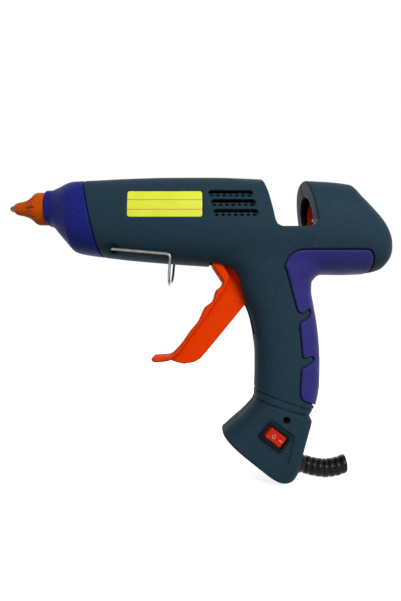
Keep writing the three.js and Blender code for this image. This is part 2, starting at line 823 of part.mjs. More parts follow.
// What stands inside the casing: the gap's walls, ribs round the stick guide, bosses and the spring's post
function fixtures() {
  const half = BARREL_WIDTH / 2 + WALL;
  const across = (radius, x, z) => cylinderY(radius, x, z, -half, half, SMALL_ROUND);
  const ribs = GUIDE_RIB_SHARES.map((share) => {
    const x = share * LENGTH;
    return box(x - GUIDE_WALL / 2, x + GUIDE_WALL / 2, -half, half, axisZ - guideRadius, HEIGHT + WALL);
  });
  const bosses = [...screwPlaces, footScrew].map(([x, z]) => across(BOSS_RADIUS, x, z));
  const pinBoss = across(PIN_RADIUS + PIN_BOSS_WALL, pivotX, pivotZ);
  const post = across(POST_RADIUS, springPostX, springZ);
  const clampPosts = [-1, 1].map((side) => {
    const [x, z] = clampFar(side);
    return cylinderY(CLAMP_POST_RADIUS, x, z, CLAMP_ROOM, half, SMALL_ROUND);
  });
  return join(loadingGap(WALL), ...ribs, ...bosses, ...clampPosts, pinBoss, post);
}

function casing() {
  const hollow = join(barrelForm(WALL, INNER_RING), gripForm(WALL, INNER_RING));
  return bodyOuter.intersect(bodyBehindSeam).subtract(hollow.subtract(fixtures()));
}

function casingCuts() {
  const cuts = [
    loadingGap(0),
    along(STICK_RADIUS + STICK_PLAY + GAP, gapFront - OVERRUN, gapFront + GAP_LENGTH / 2),
    along(guideRadius + GAP, CHAMBER_SHARES.back * LENGTH, guideBack + GAP),
    along(STICK_RADIUS + STICK_PLAY + GAP, BLOCK_SHARE * LENGTH, LENGTH),
    archTunnel(gapRear - GAP_REAR_LEAN, gapRear + WALL * 2, 0),
    triggerSlot(),
    cylinderY(PIN_RADIUS + GAP, pivotX, pivotZ, -pinHalf - GAP, pinHalf + GAP, SMALL_ROUND),
  ];
  // Stand pivots
  cuts.push(cylinderY(WIRE_RADIUS + STAND_PLAY, standX, standZ, -BARREL_WIDTH, BARREL_WIDTH, SMALL_ROUND));
  // Casing screws from the far side, the foot's from the near side
  for (const [x, z] of screwPlaces) cuts.push(...screwHole(x, z, 1));
  cuts.push(...screwHole(...footScrew, -1, FOOT_HEAD_RADIUS));
  // Switch
  const switchFlat = [BEZEL_LENGTH, BEZEL_WIDTH].map((size) => size + SWITCH_MARGIN * 2);
  cuts.push(switchBlock(...switchFlat, -BARREL_WIDTH, switchFaceY));
  const bed = SWITCH_BED_SHARES.map(([x, z]) => [switchX + x * LENGTH, switchZ + z * HEIGHT]);
  cuts.push(prism(bed, -BARREL_WIDTH, switchFaceY));
  const switchHole = [BEZEL_LENGTH, BEZEL_WIDTH].map((size) => size - SWITCH_RIM + GAP * 2);
  cuts.push(switchBlock(...switchHole, -BARREL_WIDTH, switchFaceY + SWITCH_DEPTH + GAP));
  // Cord relief's neck
  const neck = RELIEF_NECK_RADIUS + GAP;
  const neckStations = [
    [0, neck],
    [RELIEF_CONE_SHARE, neck],
  ];
  cuts.push(tubeAlong(reliefCurve, neckStations, ROUND));
  // Clamp screws
  for (const side of [-1, 1]) {
    const depth = CLAMP_ROOM + CLAMP_SCREW_LENGTH;
    cuts.push(cylinderY(CLAMP_SCREW_RADIUS + GAP, ...clampFar(side), 0, depth, SMALL_ROUND));
  }
  cuts.push(...ventCuts(-1), ...ventCuts(1));
  return join(...cuts);
}

function screwHole(x, z, side, headRadius = SCREW_HEAD_RADIUS) {
  const span = (radius, from, to) =>
    cylinderY(radius, x, z, Math.min(side * from, side * to), Math.max(side * from, side * to), SMALL_ROUND);
  return [
    span(SCREW_RADIUS + GAP, SCREW_SEAT - SCREW_LENGTH - SCREW_TIP_ROOM, SCREW_SEAT + GAP),
    span(headRadius + GAP, SCREW_SEAT, BARREL_WIDTH),
  ];
}

const leftSide = box(-LENGTH, LENGTH, -BARREL_WIDTH, -GAP / 2, -OVERRUN, HEIGHT + OVERRUN);
const rightSide = box(-LENGTH, LENGTH, GAP / 2, BARREL_WIDTH, -OVERRUN, HEIGHT + OVERRUN);

const underSkins = (inset) => join(barrelForm(inset), gripForm(inset));
const skinBed = skinRegion(GAP).subtract(underSkins(SKIN_THICKNESS + GAP));
const skins = bodyOuter.intersect(skinRegion(0)).subtract(underSkins(SKIN_THICKNESS));
const labelFront = LABEL_SHARES.front * LENGTH;
const labelBack = LABEL_SHARES.back * LENGTH;
const labelZ = LABEL_SHARES.middle * HEIGHT;

function labelRegion(grow) {
  return box(
    labelFront - grow,
    labelBack + grow,
    -BARREL_WIDTH,
    0,
    labelZ - LABEL_HEIGHT / 2 - grow,
    labelZ + LABEL_HEIGHT / 2 + grow,
  );
}

const labelBed = labelRegion(GAP).subtract(barrelForm(LABEL_DEPTH));
const wholeCasing = casing().subtract(casingCuts()).subtract(skinBed);

const group = new THREE.Group();

function material(color, roughness, metalness) {
  return new THREE.MeshStandardMaterial({ color, roughness, metalness });
}

const plastic = {
  casing: () => material("#2e404a", 0.6, 0),
  blue: () => material("#33378a", 0.5, 0),
  orange: () => material("#d23a0c", 0.4, 0),
  silicone: () => material("#c04f10", 0.55, 0),
  black: () => material("#24262a", 0.6, 0),
  red: () => material("#c0321c", 0.3, 0),
  white: () => material("#d8d8d2", 0.5, 0),
  yellow: () => material("#dfe52c", 0.45, 0),
};
const metal = {
  steel: () => material("#9a9a94", 0.3, 1),
  aluminium: () => material("#b4b6b8", 0.4, 1),
  brass: () => material("#b8a060", 0.35, 1),
};

function add(name, made, finish) {
  const mesh = new THREE.Mesh(geometryOf(largest(solid(geometryOf(made)))), finish);
  mesh.name = name;
  group.add(mesh);
}

// The largest body of a cut, so that no loose sliver is left
function largest(made) {
  return made.decompose().sort((a, b) => b.volume() - a.volume())[0];
}

add("left_casing", largest(wholeCasing.intersect(leftSide).subtract(labelBed)), plastic.casing());
add("right_casing", largest(wholeCasing.intersect(rightSide)), plastic.casing());
add("left_grip_skin", largest(skins.intersect(leftSide)), plastic.blue());
add("right_grip_skin", largest(skins.intersect(rightSide)), plastic.blue());
add(
  "label_plate",
  barrelForm(LABEL_DEPTH - GAP - LABEL_THICKNESS)
    .subtract(barrelForm(LABEL_DEPTH - GAP))
    .intersect(labelRegion(0))
    .intersect(leftSide),
  plastic.yellow(),
);

// Nose collar, with a spigot that enters the casing
function noseCollar() {
  const front = behindSeam(-GAP / 2);
  const spigotEnd = behindSeam(SPIGOT_LENGTH);
  const inner = barrelForm(WALL + GAP + SPIGOT_WALL, INNER_RING);
  const skin = barrelForm(0).subtract(front);
  const spigot = barrelForm(WALL + GAP, INNER_RING).subtract(spigotEnd);
  return join(skin, spigot).subtract(inner);
}
add("nose_collar", largest(noseCollar()), plastic.blue());

// Nozzle, cap and heating chamber
const tipX = -LENGTH / 2;
const collarFront = BARREL_SHARES[0][0] * LENGTH;
const chamberFront = CHAMBER_SHARES.front * LENGTH;
const chamberBack = CHAMBER_SHARES.back * LENGTH;
const capBack = collarFront - GAP;
const coneEnd = tipX + TIP_CONE;
const neckEnd = coneEnd + NOZZLE_NECK;
const capFront = tipX + CAP_REVEAL;
const stubEnd = chamberFront + STUB_LENGTH / 2;

function nozzle() {
  return turned([
    [tipX, ORIFICE_RADIUS],
    [tipX, TIP_RADIUS],
    [coneEnd, TIP_BASE_RADIUS],
    [neckEnd, NOZZLE_NECK_RADIUS],
    [capBack - NOZZLE_FLANGE, STUB_RADIUS],
    [stubEnd, STUB_RADIUS],
    [stubEnd, MELT_RADIUS],
    [coneEnd, MELT_RADIUS],
    [tipX + TIP_CONE / 2, ORIFICE_RADIUS],
  ]);
}

function nozzleCap() {
  const length = capBack - capFront;
  const outside = CAP_SHARES.map(([along, radius]) => [capFront + along * length, radius * CAP_RADIUS]);
  const inside = [
    [capBack, STUB_RADIUS + GAP],
    [capBack - NOZZLE_FLANGE, STUB_RADIUS + GAP],
    [neckEnd, NOZZLE_NECK_RADIUS + GAP],
    [capFront, TIP_BASE_RADIUS + GAP],
  ];
  const [grooveAlong, grooveOut] = CAP_GROOVE_SHARES;
  const grooves = Array.from({ length: CAP_GROOVES }, (_, i) => {
    const geometry = new THREE.CylinderGeometry(
      CAP_GROOVE_RADIUS,
      CAP_GROOVE_RADIUS,
      CAP_GROOVE_LENGTH,
      GROOVE_FACETS,
    );
    geometry.rotateZ(Math.PI / 2 - degrees(CAP_GROOVE_SLOPE));
    geometry.translate(capFront + grooveAlong * length, grooveOut * CAP_RADIUS, 0);
    geometry.rotateX((i / CAP_GROOVES) * FULL_TURN);
    geometry.translate(0, 0, axisZ);
    return solid(geometry);
  });
  return turned([...outside, ...inside]).subtract(join(...grooves));
}
add("nozzle", nozzle(), metal.aluminium());
add("nozzle_cap", nozzleCap(), plastic.silicone());

const pocketFront = POCKET_SHARES.front * LENGTH;
const pocketBack = POCKET_SHARES.back * LENGTH;
const pocketUnder = axisZ - POCKET_DROP;
const slotUnder = pocketUnder + POCKET_FLOOR;
const stickBore = STICK_RADIUS + GAP;
const lowerElectrode = slotUnder + GAP;
const heaterUnder = lowerElectrode + ELECTRODE_THICKNESS + GAP;
const upperElectrode = heaterUnder + HEATER_THICKNESS + GAP;

function pocketBlock(grow) {
  return box(
    pocketFront - grow,
    pocketBack + grow,
    -POCKET_WIDTH / 2 - grow,
    POCKET_WIDTH / 2 + grow,
    pocketUnder - grow,
    axisZ - CHAMBER_RADIUS / 2,
  );
}

function heatingChamber() {
  const socket = stubEnd + GAP;
  const shell = turned([
    [chamberFront, 0],
    [chamberFront, CHAMBER_FRONT_RADIUS],
    [chamberFront + CHAMBER_RADIUS, CHAMBER_RADIUS],
    [chamberBack - CHAMBER_SPIGOT, CHAMBER_RADIUS],
    [chamberBack - CHAMBER_SPIGOT, CHAMBER_SPIGOT_RADIUS],
    [chamberBack, CHAMBER_SPIGOT_RADIUS],
    [chamberBack, 0],
  ]);
  const bore = turned([
    [chamberFront - OVERRUN, 0],
    [chamberFront - OVERRUN, STUB_RADIUS + GAP],
    [socket, STUB_RADIUS + GAP],
    [socket, MELT_RADIUS],
    [pocketFront, MELT_RADIUS],
    [(pocketFront + pocketBack) / 2, stickBore],
    [chamberBack + OVERRUN, stickBore],
    [chamberBack + OVERRUN, 0],
  ]);
  const slot = box(
    pocketFront - OVERRUN,
    pocketBack + OVERRUN,
    -SLOT_WIDTH / 2,
    SLOT_WIDTH / 2,
    slotUnder,
    upperElectrode + ELECTRODE_THICKNESS + GAP,
  );
  return join(shell, pocketBlock(0)).subtract(bore).subtract(slot);
}
add("heating_chamber", heatingChamber(), metal.aluminium());

// Heater: a flat element between two electrodes, each with a tab for its lead
const plateHalf = SLOT_WIDTH / 2 - GAP;

function electrode(under, side) {
  const plate = box(
    pocketFront + WALL,
    pocketBack,
    -plateHalf,
    plateHalf,
    under,
    under + ELECTRODE_THICKNESS,
  );
  const middle = side * (plateHalf - TAB_WIDTH / 2);
  const tab = box(
    pocketBack - GAP,
    pocketBack + ELECTRODE_TAB,
    middle - TAB_WIDTH / 2,
    middle + TAB_WIDTH / 2,
    under,
    under + ELECTRODE_THICKNESS,
  );
  return join(plate, tab);
}
add("lower_electrode", electrode(lowerElectrode, -1), metal.brass());
add("upper_electrode", electrode(upperElectrode, 1), metal.brass());
add(
  "heater_element",
  box(pocketFront + WALL, pocketBack, -plateHalf, plateHalf, heaterUnder, heaterUnder + HEATER_THICKNESS),
  plastic.white(),
);

// Bulkheads that carry the chamber in the casing
function bulkhead(share, grow) {
  const x = share * LENGTH;
  const plate = barrelForm(WALL + GAP, INNER_RING).intersect(
    box(x, x + BULKHEAD_THICKNESS, -BARREL_WIDTH, BARREL_WIDTH, 0, HEIGHT),
  );
  const gate = box(
    x - OVERRUN,
    x + OVERRUN,
    -LEAD_GATE / 2,
    LEAD_GATE / 2,
    0,
    upperElectrode + ELECTRODE_THICKNESS + GAP * 2,
  );
  return plate
    .subtract(along(CHAMBER_RADIUS + grow, x - OVERRUN, x + OVERRUN))
    .subtract(pocketBlock(grow))
    .subtract(gate);
}
add("front_bulkhead", largest(bulkhead(BULKHEAD_SHARES[0], GAP)), plastic.white());
add("rear_bulkhead", largest(bulkhead(BULKHEAD_SHARES[1], GAP)), plastic.white());

// Inlet sleeve, its clip and the stick guide
const sleeveFront = chamberBack - CHAMBER_SPIGOT + GAP;
const sleeveBack = SLEEVE_BACK_SHARE * LENGTH;
const sleeveInner = CHAMBER_SPIGOT_RADIUS + GAP;
const sleeveOuter = sleeveInner + SLEEVE_WALL;
const sleeveStep = chamberBack + GAP;
const sleeve = turned([
  [sleeveFront, sleeveInner],
  [sleeveFront, sleeveOuter],
  [sleeveBack, sleeveOuter],
  [sleeveBack, STICK_RADIUS + SLEEVE_PLAY],
  [sleeveStep, STICK_RADIUS + SLEEVE_PLAY],
  [sleeveStep, sleeveInner],
]);
add("inlet_sleeve", sleeve, plastic.white());
add(
  "sleeve_clip",
  tube(sleeveOuter + GAP + GUIDE_WALL / 2, sleeveOuter + GAP, sleeveFront + WALL, sleeveFront + WALL * 2),
  metal.steel(),
);
add(
  "stick_guide",
  tube(guideRadius, STICK_RADIUS + STICK_PLAY, sleeveBack + GAP, guideBack),
  plastic.black(),
);

// Trigger
const restLean = TRIGGER_SWING / 2;
const crossX = pivotX + TRIGGER_ARM * Math.sin(degrees(restLean));
const crossZ = pivotZ + TRIGGER_ARM * Math.cos(degrees(restLean));

function triggerSolid() {
  const plate = prism(
    nearPivot([...PLATE_OUTER_SHARES, ...PLATE_INNER_SHARES]),
    -PLATE_WIDTH / 2,
    PLATE_WIDTH / 2,
  );
  const web = prism(nearPivot(WEB_SHARES), -WEB_WIDTH / 2, WEB_WIDTH / 2);
  const hub = cylinderY(HUB_RADIUS, pivotX, pivotZ, -PLATE_WIDTH / 2, PLATE_WIDTH / 2);
  const armTop = pivotZ + TRIGGER_ARM + CROSS_PIN_RADIUS;
  const armHalf = ARM_DEPTH / 2;
  const arm = turnedAboutY(
    join(
      box(pivotX - armHalf, pivotX + armHalf, -ARM_WIDTH / 2, ARM_WIDTH / 2, pivotZ, armTop),
      cylinderY(
        CROSS_PIN_RADIUS,
        pivotX,
        pivotZ + TRIGGER_ARM,
        -CROSS_PIN_LENGTH / 2,
        CROSS_PIN_LENGTH / 2,
        SMALL_ROUND,
      ),
    ),
    pivotX,
    pivotZ,
    -restLean,
  );
  const bore = cylinderY(PIN_RADIUS + GAP, pivotX, pivotZ, -BARREL_WIDTH, BARREL_WIDTH);
  return join(plate, web, hub, arm).subtract(bore);
}
add("trigger", largest(triggerSolid()), plastic.orange());
add("trigger_pin", cylinderY(PIN_RADIUS, pivotX, pivotZ, -pinHalf, pinHalf), metal.steel());

// Feed carriage: a rail under the gap's floor, a fork for the trigger's cross pin and a block round the stick
const railTop = gapFloor - WALL - GAP;
const railUnder = railTop - RAIL_THICKNESS;
const blockFront = BLOCK_SHARE * LENGTH;
const blockBack = blockFront + BLOCK_LENGTH;
const nubX = gapRear - NUB_SETBACK;
const jawPinX = blockBack - JAW_PIN_INSET;
const jawPinZ = gapFloor + JAW_PIN_RISE;
const stickUnder = axisZ - STICK_RADIUS;

function carriage() {
  const forkTop = pivotZ + TRIGGER_ARM + CROSS_PIN_RADIUS + FORK_ROOM;
  const railFront = crossX - FORK_LENGTH / 2 - WALL;
  const rail = box(railFront, blockBack, -RAIL_WIDTH / 2, RAIL_WIDTH / 2, railUnder, railTop);
  const fork = box(
    crossX - FORK_LENGTH / 2,
    crossX + FORK_LENGTH / 2,
    -FORK_WIDTH / 2,
    FORK_WIDTH / 2,
    railUnder - FORK_DROP,
    railTop,
  );
  const blockTo = (top) =>
    box(blockFront, blockBack, -BLOCK_WIDTH / 2, BLOCK_WIDTH / 2, railUnder, top);
  const rearTunnel = archTunnel(blockFront, blockBack, WALL);
  const block = blockTo(axisZ + BLOCK_OVER_STICK).intersect(join(rearTunnel, blockTo(gapFloor + WALL)));
  const nub = box(nubX, nubX + NUB_LENGTH, -NUB_LENGTH / 2, NUB_LENGTH / 2, springZ - SPRING_RADIUS, railTop);
  const slot = box(
    crossX - CROSS_PIN_RADIUS - GAP,
    crossX + CROSS_PIN_RADIUS + GAP,
    -BARREL_WIDTH,
    BARREL_WIDTH,
    railUnder - OVERRUN,
    forkTop,
  );
  const armRoom = box(
    crossX - ARM_DEPTH - GAP,
    crossX + ARM_DEPTH + GAP,
    -ARM_WIDTH / 2 - TRIGGER_PLAY,
    ARM_WIDTH / 2 + TRIGGER_PLAY,
    railUnder - OVERRUN,
    forkTop,
  );
  const travel = crossX - pivotX;
  const floorRoom = box(
    blockFront - OVERRUN,
    gapRear + WALL + GAP + travel * 2,
    -BARREL_WIDTH,
    BARREL_WIDTH,
    railTop,
    gapFloor + GAP,
  );
  const stickHole = along(STICK_RADIUS + STICK_PLAY, blockFront - OVERRUN, blockBack + OVERRUN);
  const jawRoom = box(
    blockFront - GAP,
    blockBack + GAP,
    -JAW_WIDTH / 2 - GAP,
    JAW_WIDTH / 2 + GAP,
    gapFloor,
    axisZ,
  );
  const jawPin = cylinderY(
    JAW_PIN_RADIUS + GAP,
    jawPinX,
    jawPinZ,
    -JAW_PIN_LENGTH / 2 - GAP,
    JAW_PIN_LENGTH / 2 + GAP,
    SMALL_ROUND,
  );
  return join(rail, fork, block, nub).subtract(join(slot, armRoom, floorRoom, stickHole, jawRoom, jawPin));
}
add("feed_carriage", largest(carriage()), plastic.orange());

function jaw() {
  const heel = JAW_PIN_RADIUS * 2;
  const shape = [
    [jawPinX - heel, jawPinZ - heel],
    [jawPinX + heel, jawPinZ - heel],
    [jawPinX + heel, jawPinZ + heel],
    [blockFront + WALL, stickUnder - JAW_OPENING],
    [blockFront + JAW_SETBACK, stickUnder - JAW_OPENING],
    [blockFront + JAW_SETBACK, stickUnder - WALL],
  ];
  return prism(shape, -JAW_WIDTH / 2, JAW_WIDTH / 2).subtract(
    cylinderY(JAW_PIN_RADIUS + GAP, jawPinX, jawPinZ, -BARREL_WIDTH, BARREL_WIDTH, SMALL_ROUND),
  );
}
add("grip_jaw", jaw(), metal.steel());
add(
  "jaw_pin",
  cylinderY(JAW_PIN_RADIUS, jawPinX, jawPinZ, -JAW_PIN_LENGTH / 2, JAW_PIN_LENGTH / 2, SMALL_ROUND),
  metal.steel(),
);

// Return spring, one unbroken wire from the carriage's nub to the casing's post
class SpringLine extends THREE.Curve {
  getPoint(share, target = new THREE.Vector3()) {
    const start = nubX + NUB_LENGTH + SPRING_WIRE + GAP;
    const end = springPostX - POST_RADIUS - SPRING_WIRE - GAP;
    const radius = SPRING_RADIUS - SPRING_WIRE;
    const turn = share * SPRING_TURNS * FULL_TURN;
    const height = springZ + Math.sin(turn) * radius;
    return target.set(start + share * (end - start), Math.cos(turn) * radius, height);
  }
}

function springSolid() {
  const section = new THREE.Shape();
  section.absarc(0, 0, SPRING_WIRE, 0, FULL_TURN);
  return solid(
    new THREE.ExtrudeGeometry(section, {
      steps: SPRING_TURNS * SPRING_STEPS,
      extrudePath: new SpringLine(),
      bevelEnabled: false,
      curveSegments: SPRING_FACETS / 2,
    }),
  );
}
add("return_spring", springSolid(), metal.steel());

// Wire stand: two legs with inturned ends, joined by a drop and a cross bar
function standSolid() {
  const half = (STAND_WIDTH_SHARE * BARREL_WIDTH) / 2;
  const path = new THREE.CurvePath();
  const stubEnd = half - STAND_STUB;
  const legEnd = standX + STAND_LEG;
  const foot = standZ - STAND_DROP - WIRE_BEND;
  const corners = [
    [standX, -stubEnd, standZ],
    [standX, -half, standZ],
    [legEnd, -half, standZ - WIRE_BEND],
    [legEnd - STAND_LEAN, -half, foot],
    [legEnd - STAND_LEAN, half, foot],
    [legEnd, half, standZ - WIRE_BEND],
    [standX, half, standZ],
    [standX, stubEnd, standZ],
  ].map((corner) => new THREE.Vector3(...corner));
  const bends = [WIRE_BEND / 2, WIRE_BEND, STAND_FOOT_BEND, STAND_FOOT_BEND, WIRE_BEND, WIRE_BEND / 2];
  let from = corners[0];
  for (let i = 1; i + 1 < corners.length; i++) {
    const bend = bends[i - 1];
    const enter = corners[i].clone().add(corners[i - 1].clone().sub(corners[i]).setLength(bend));
    const leave = corners[i].clone().add(corners[i + 1].clone().sub(corners[i]).setLength(bend));
    path.add(new THREE.LineCurve3(from, enter));
    path.add(new THREE.QuadraticBezierCurve3(enter, corners[i], leave));
    from = leave;
  }
  path.add(new THREE.LineCurve3(from, corners.at(-1)));
  const stations = [];
  path.curves.forEach((curve, index) => {
    const steps = curve.isLineCurve3 ? 1 : BEND_STEPS;
    for (let step = index ? 1 : 0; step <= steps; step++) stations.push(curve.getPoint(step / steps));
  });
  return wireThrough(stations, WIRE_RADIUS, WIRE_FACETS);
}

// A round wire through points, its section turned as little as it can be
function wireThrough(points, radius, facets) {
  let up = new THREE.Vector3(0, 0, 1);
  const rings = points.map((point, index) => {
    const before = points[Math.max(index - 1, 0)];
    const after = points[Math.min(index + 1, points.length - 1)];
    const tangent = after.clone().sub(before).normalize();
    if (Math.abs(up.dot(tangent)) > ALONG_SHARE) up = new THREE.Vector3(1, 0, 0);
    const across = new THREE.Vector3().crossVectors(tangent, up).normalize();
    up = new THREE.Vector3().crossVectors(across, tangent).normalize();
    return Array.from({ length: facets }, (_, i) => {
      const turn = (i / facets) * FULL_TURN;
      return point
        .clone()
        .addScaledVector(up, Math.cos(turn) * radius)
        .addScaledVector(across, Math.sin(turn) * radius);
    });
  });
  return loft(rings);
}
add("wire_stand", standSolid(), metal.steel());

// Switch: bezel and body in one, rocker, two terminals
const bodyLength = BEZEL_LENGTH - SWITCH_RIM;
const bodyWidth = BEZEL_WIDTH - SWITCH_RIM;
const bezelOut = switchFaceY - GAP - BEZEL_THICKNESS;
const switchBack = switchFaceY + SWITCH_DEPTH;
const rockerAxisY = bezelOut + BEZEL_THICKNESS + ROCKER_RISE;

function switchBody() {
  const bezel = switchBlock(BEZEL_LENGTH, BEZEL_WIDTH, bezelOut, switchFaceY - GAP);
  const body = switchBlock(bodyLength, bodyWidth, switchFaceY - GAP * 2, switchBack);
  const length = ROCKER_LENGTH + ROCKER_PLAY * 2;
  const depth = rockerAxisY + ROCKER_LENGTH / 2 + GAP;
  const room = switchBlock(length, ROCKER_WIDTH + GAP * 2, bezelOut - GAP, depth);
  return join(bezel, body).subtract(room);
}

function switchRocker() {
  const half = ROCKER_LENGTH / 2;
  const rise = half * Math.tan(degrees(ROCKER_TILT));
  const shape = [
    ...ROCKER_SHARES.map(([along, up]) => [switchX + along * half, switchZ + up * half]),
    [switchX + half, switchZ + ROCKER_HEIGHT + rise],
    [switchX, switchZ + ROCKER_HEIGHT],
    [switchX - half, switchZ + ROCKER_HEIGHT + rise],
  ];
  const flat = prism(shape, -ROCKER_WIDTH / 2, ROCKER_WIDTH / 2);
  const tipped = turnedAboutY(flat, switchX, switchZ, ROCKER_TILT);
  const facing = tipped
    .translate(-switchX, 0, -switchZ)
    .rotate(90, 0, 0)
    .translate(switchX, rockerAxisY, switchZ);
  return turnedAboutY(facing, switchX, switchZ, -SWITCH_TURN);
}

function terminal(side) {
  const middle = (side * TERMINAL_SPAN) / 2;
  const blade = box(
    switchX + middle - TERMINAL_THICKNESS / 2,
    switchX + middle + TERMINAL_THICKNESS / 2,
    switchBack + GAP,
    switchBack + GAP + TERMINAL_LENGTH,
    switchZ - TERMINAL_WIDTH / 2,
    switchZ + TERMINAL_WIDTH / 2,
  );
  return turnedAboutY(blade, switchX, switchZ, -SWITCH_TURN);
}
add("switch_body", switchBody(), plastic.black());
add("switch_rocker", switchRocker(), plastic.red());
add("terminal_upper", terminal(-1), metal.brass());
add("terminal_lower", terminal(1), metal.brass());

// Cord relief: a neck in the casing wall, a cone, ribs and an open bore
function cordRelief() {
  const neck = tubeAlong(
    reliefCurve,
    [
      [0, RELIEF_FLANGE_RADIUS],
      [RELIEF_FLANGE_SHARE, RELIEF_FLANGE_RADIUS],
      [RELIEF_FLANGE_SHARE, RELIEF_NECK_RADIUS],
      [RELIEF_CONE_SHARE, RELIEF_NECK_RADIUS],
    ],
    RELIEF_RING,
  );
  const pitch = (1 - RELIEF_CONE_SHARE) / RELIEF_RIBS;
  const stations = [
    [RELIEF_ROOT_SHARE, RELIEF_ROOT_RADIUS],
    [(RELIEF_ROOT_SHARE + RELIEF_CONE_SHARE) / 2, RELIEF_ROOT_RADIUS],
    [RELIEF_TAPER_SHARE, RELIEF_RADIUS],
  ];
  for (let rib = 0; rib < RELIEF_RIBS; rib++) {
    const start = RELIEF_CONE_SHARE + rib * pitch;
    RIB_SHARES.forEach((share, edge) => {
      const radius = edge < RIB_SHARES.length / 2 ? RELIEF_GROOVE_RADIUS : RELIEF_RADIUS;
      stations.push([start + share * pitch, radius]);
    });
  }
  const ribbed = tubeAlong(reliefCurve, stations, RELIEF_RING).subtract(gripForm(-GAP));
  const boreStations = RELIEF_SHARES.map((_, i) => [i / (RELIEF_SHARES.length - 1), RELIEF_BORE]);
  boreStations.unshift([-RELIEF_FLANGE_SHARE, RELIEF_BORE]);
  boreStations.push([1 + RELIEF_FLANGE_SHARE, RELIEF_BORE]);
  const bore = tubeAlong(reliefCurve, boreStations, RELIEF_RING);
  return join(neck, ribbed).subtract(bore);
}
add("cord_relief", largest(cordRelief()), plastic.black());

// Clamp for the cord inside the foot, and its two screws
function clamp() {
  const plate = box(
    clampX - CLAMP_LENGTH / 2,
    clampX + CLAMP_LENGTH / 2,
    CLAMP_ROOM - GAP - CLAMP_THICKNESS,
    CLAMP_ROOM - GAP,
    clampZ - CLAMP_WIDTH / 2,
    clampZ + CLAMP_WIDTH / 2,
  );
  const holes = [-1, 1].map((side) =>
    cylinderY(CLAMP_SCREW_RADIUS + GAP, ...clampFar(side), 0, BARREL_WIDTH, SMALL_ROUND),
  );
  return turnedAboutY(plate, clampX, clampZ, -SWITCH_TURN).subtract(join(...holes));
}

function clampScrew(side) {
  const [x, z] = clampFar(side);
  const seat = CLAMP_ROOM - GAP * 2 - CLAMP_THICKNESS;
  return join(
    cylinderY(CLAMP_SCREW_RADIUS, x, z, seat - GAP, seat + CLAMP_SCREW_LENGTH, SMALL_ROUND),
    cylinderY(CLAMP_HEAD_RADIUS, x, z, seat - CLAMP_HEAD, seat, SMALL_ROUND),
  );
}
add("cord_clamp", clamp(), plastic.black());
add("clamp_screw_upper", clampScrew(-1), metal.steel());
add("clamp_screw_lower", clampScrew(1), metal.steel());

// Leads: two from the cord's end, one of them straight to the heater and the other by way of the switch
function lead(shares) {
  const line = new THREE.CatmullRomCurve3(
    shares.map(([x, y, z]) => new THREE.Vector3(x * LENGTH, y * HANDLE_WIDTH, z * HEIGHT)),
  );
  return wireThrough(line.getSpacedPoints(shares.length * 2), LEAD_RADIUS, LEAD_FACETS);
}
add("live_lead", lead(LEAD_SHARES.live), plastic.red());
add("feed_lead", lead(LEAD_SHARES.feed), plastic.black());
add("switched_lead", lead(LEAD_SHARES.switched), plastic.black());

// Screws
function screw(x, z, side, headRadius = SCREW_HEAD_RADIUS) {
  const span = (radius, from, to) =>
    cylinderY(radius, x, z, Math.min(side * from, side * to), Math.max(side * from, side * to), SMALL_ROUND);
  const seat = SCREW_SEAT + GAP;
  const shank = span(SCREW_RADIUS, seat - SCREW_LENGTH, seat + GAP);
  return join(shank, span(headRadius, seat, seat + SCREW_HEAD));
}
screwPlaces.forEach(([x, z], index) => add(`casing_screw_${index + 1}`, screw(x, z, 1), metal.steel()));
add("foot_screw", screw(...footScrew, -1, FOOT_HEAD_RADIUS), metal.steel());

export default group;
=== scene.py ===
# %% [markdown]
# # A hot glue gun
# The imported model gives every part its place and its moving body. This lesson dresses it: the
# moulded parts get their soft edges, grooves and grain, and the metal parts their finish. All of
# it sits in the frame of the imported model, so each piece is drawn in its place.

import math

import bpy
import numpy as np
import openvdb
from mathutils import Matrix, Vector


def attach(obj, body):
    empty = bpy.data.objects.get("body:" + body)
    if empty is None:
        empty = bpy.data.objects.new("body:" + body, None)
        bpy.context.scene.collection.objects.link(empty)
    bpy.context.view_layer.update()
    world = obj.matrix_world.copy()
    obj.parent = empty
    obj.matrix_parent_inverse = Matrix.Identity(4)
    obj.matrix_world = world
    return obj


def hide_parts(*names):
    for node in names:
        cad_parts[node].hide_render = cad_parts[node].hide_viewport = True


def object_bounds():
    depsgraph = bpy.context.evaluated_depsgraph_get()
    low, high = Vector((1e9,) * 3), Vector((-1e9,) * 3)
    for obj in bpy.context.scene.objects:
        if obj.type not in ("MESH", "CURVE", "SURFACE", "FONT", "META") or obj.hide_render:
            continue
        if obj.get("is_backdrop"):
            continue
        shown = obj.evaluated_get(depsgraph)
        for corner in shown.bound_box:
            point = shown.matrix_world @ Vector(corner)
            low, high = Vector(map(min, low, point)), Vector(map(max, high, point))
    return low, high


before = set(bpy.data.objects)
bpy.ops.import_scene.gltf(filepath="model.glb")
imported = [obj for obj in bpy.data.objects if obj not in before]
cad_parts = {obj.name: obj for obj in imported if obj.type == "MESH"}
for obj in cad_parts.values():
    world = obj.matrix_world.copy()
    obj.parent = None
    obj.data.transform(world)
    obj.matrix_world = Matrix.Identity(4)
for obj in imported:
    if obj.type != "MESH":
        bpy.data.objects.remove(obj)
cad_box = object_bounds()
MM = 0.001

# %% [markdown]
# ## The view
# The gun is seen square from its left side, from about a quarter of a metre. A short distance
# matters here: it is what lets the eye see a little of the far leg of the stand and of the tunnel
# behind the loading gap. The lens comes from a focal length in pixels, for a picture that is 601
# pixels high.

# %% Camera
EYE = (0.001, -0.265, 0.1109)
FOCAL_PIXELS, PICTURE_PIXELS = 420.6, 601


def new_object(name, data):
    """Makes an object and links it into the scene."""
    made = bpy.data.objects.new(name, data)
    bpy.context.scene.collection.objects.link(made)
    return made


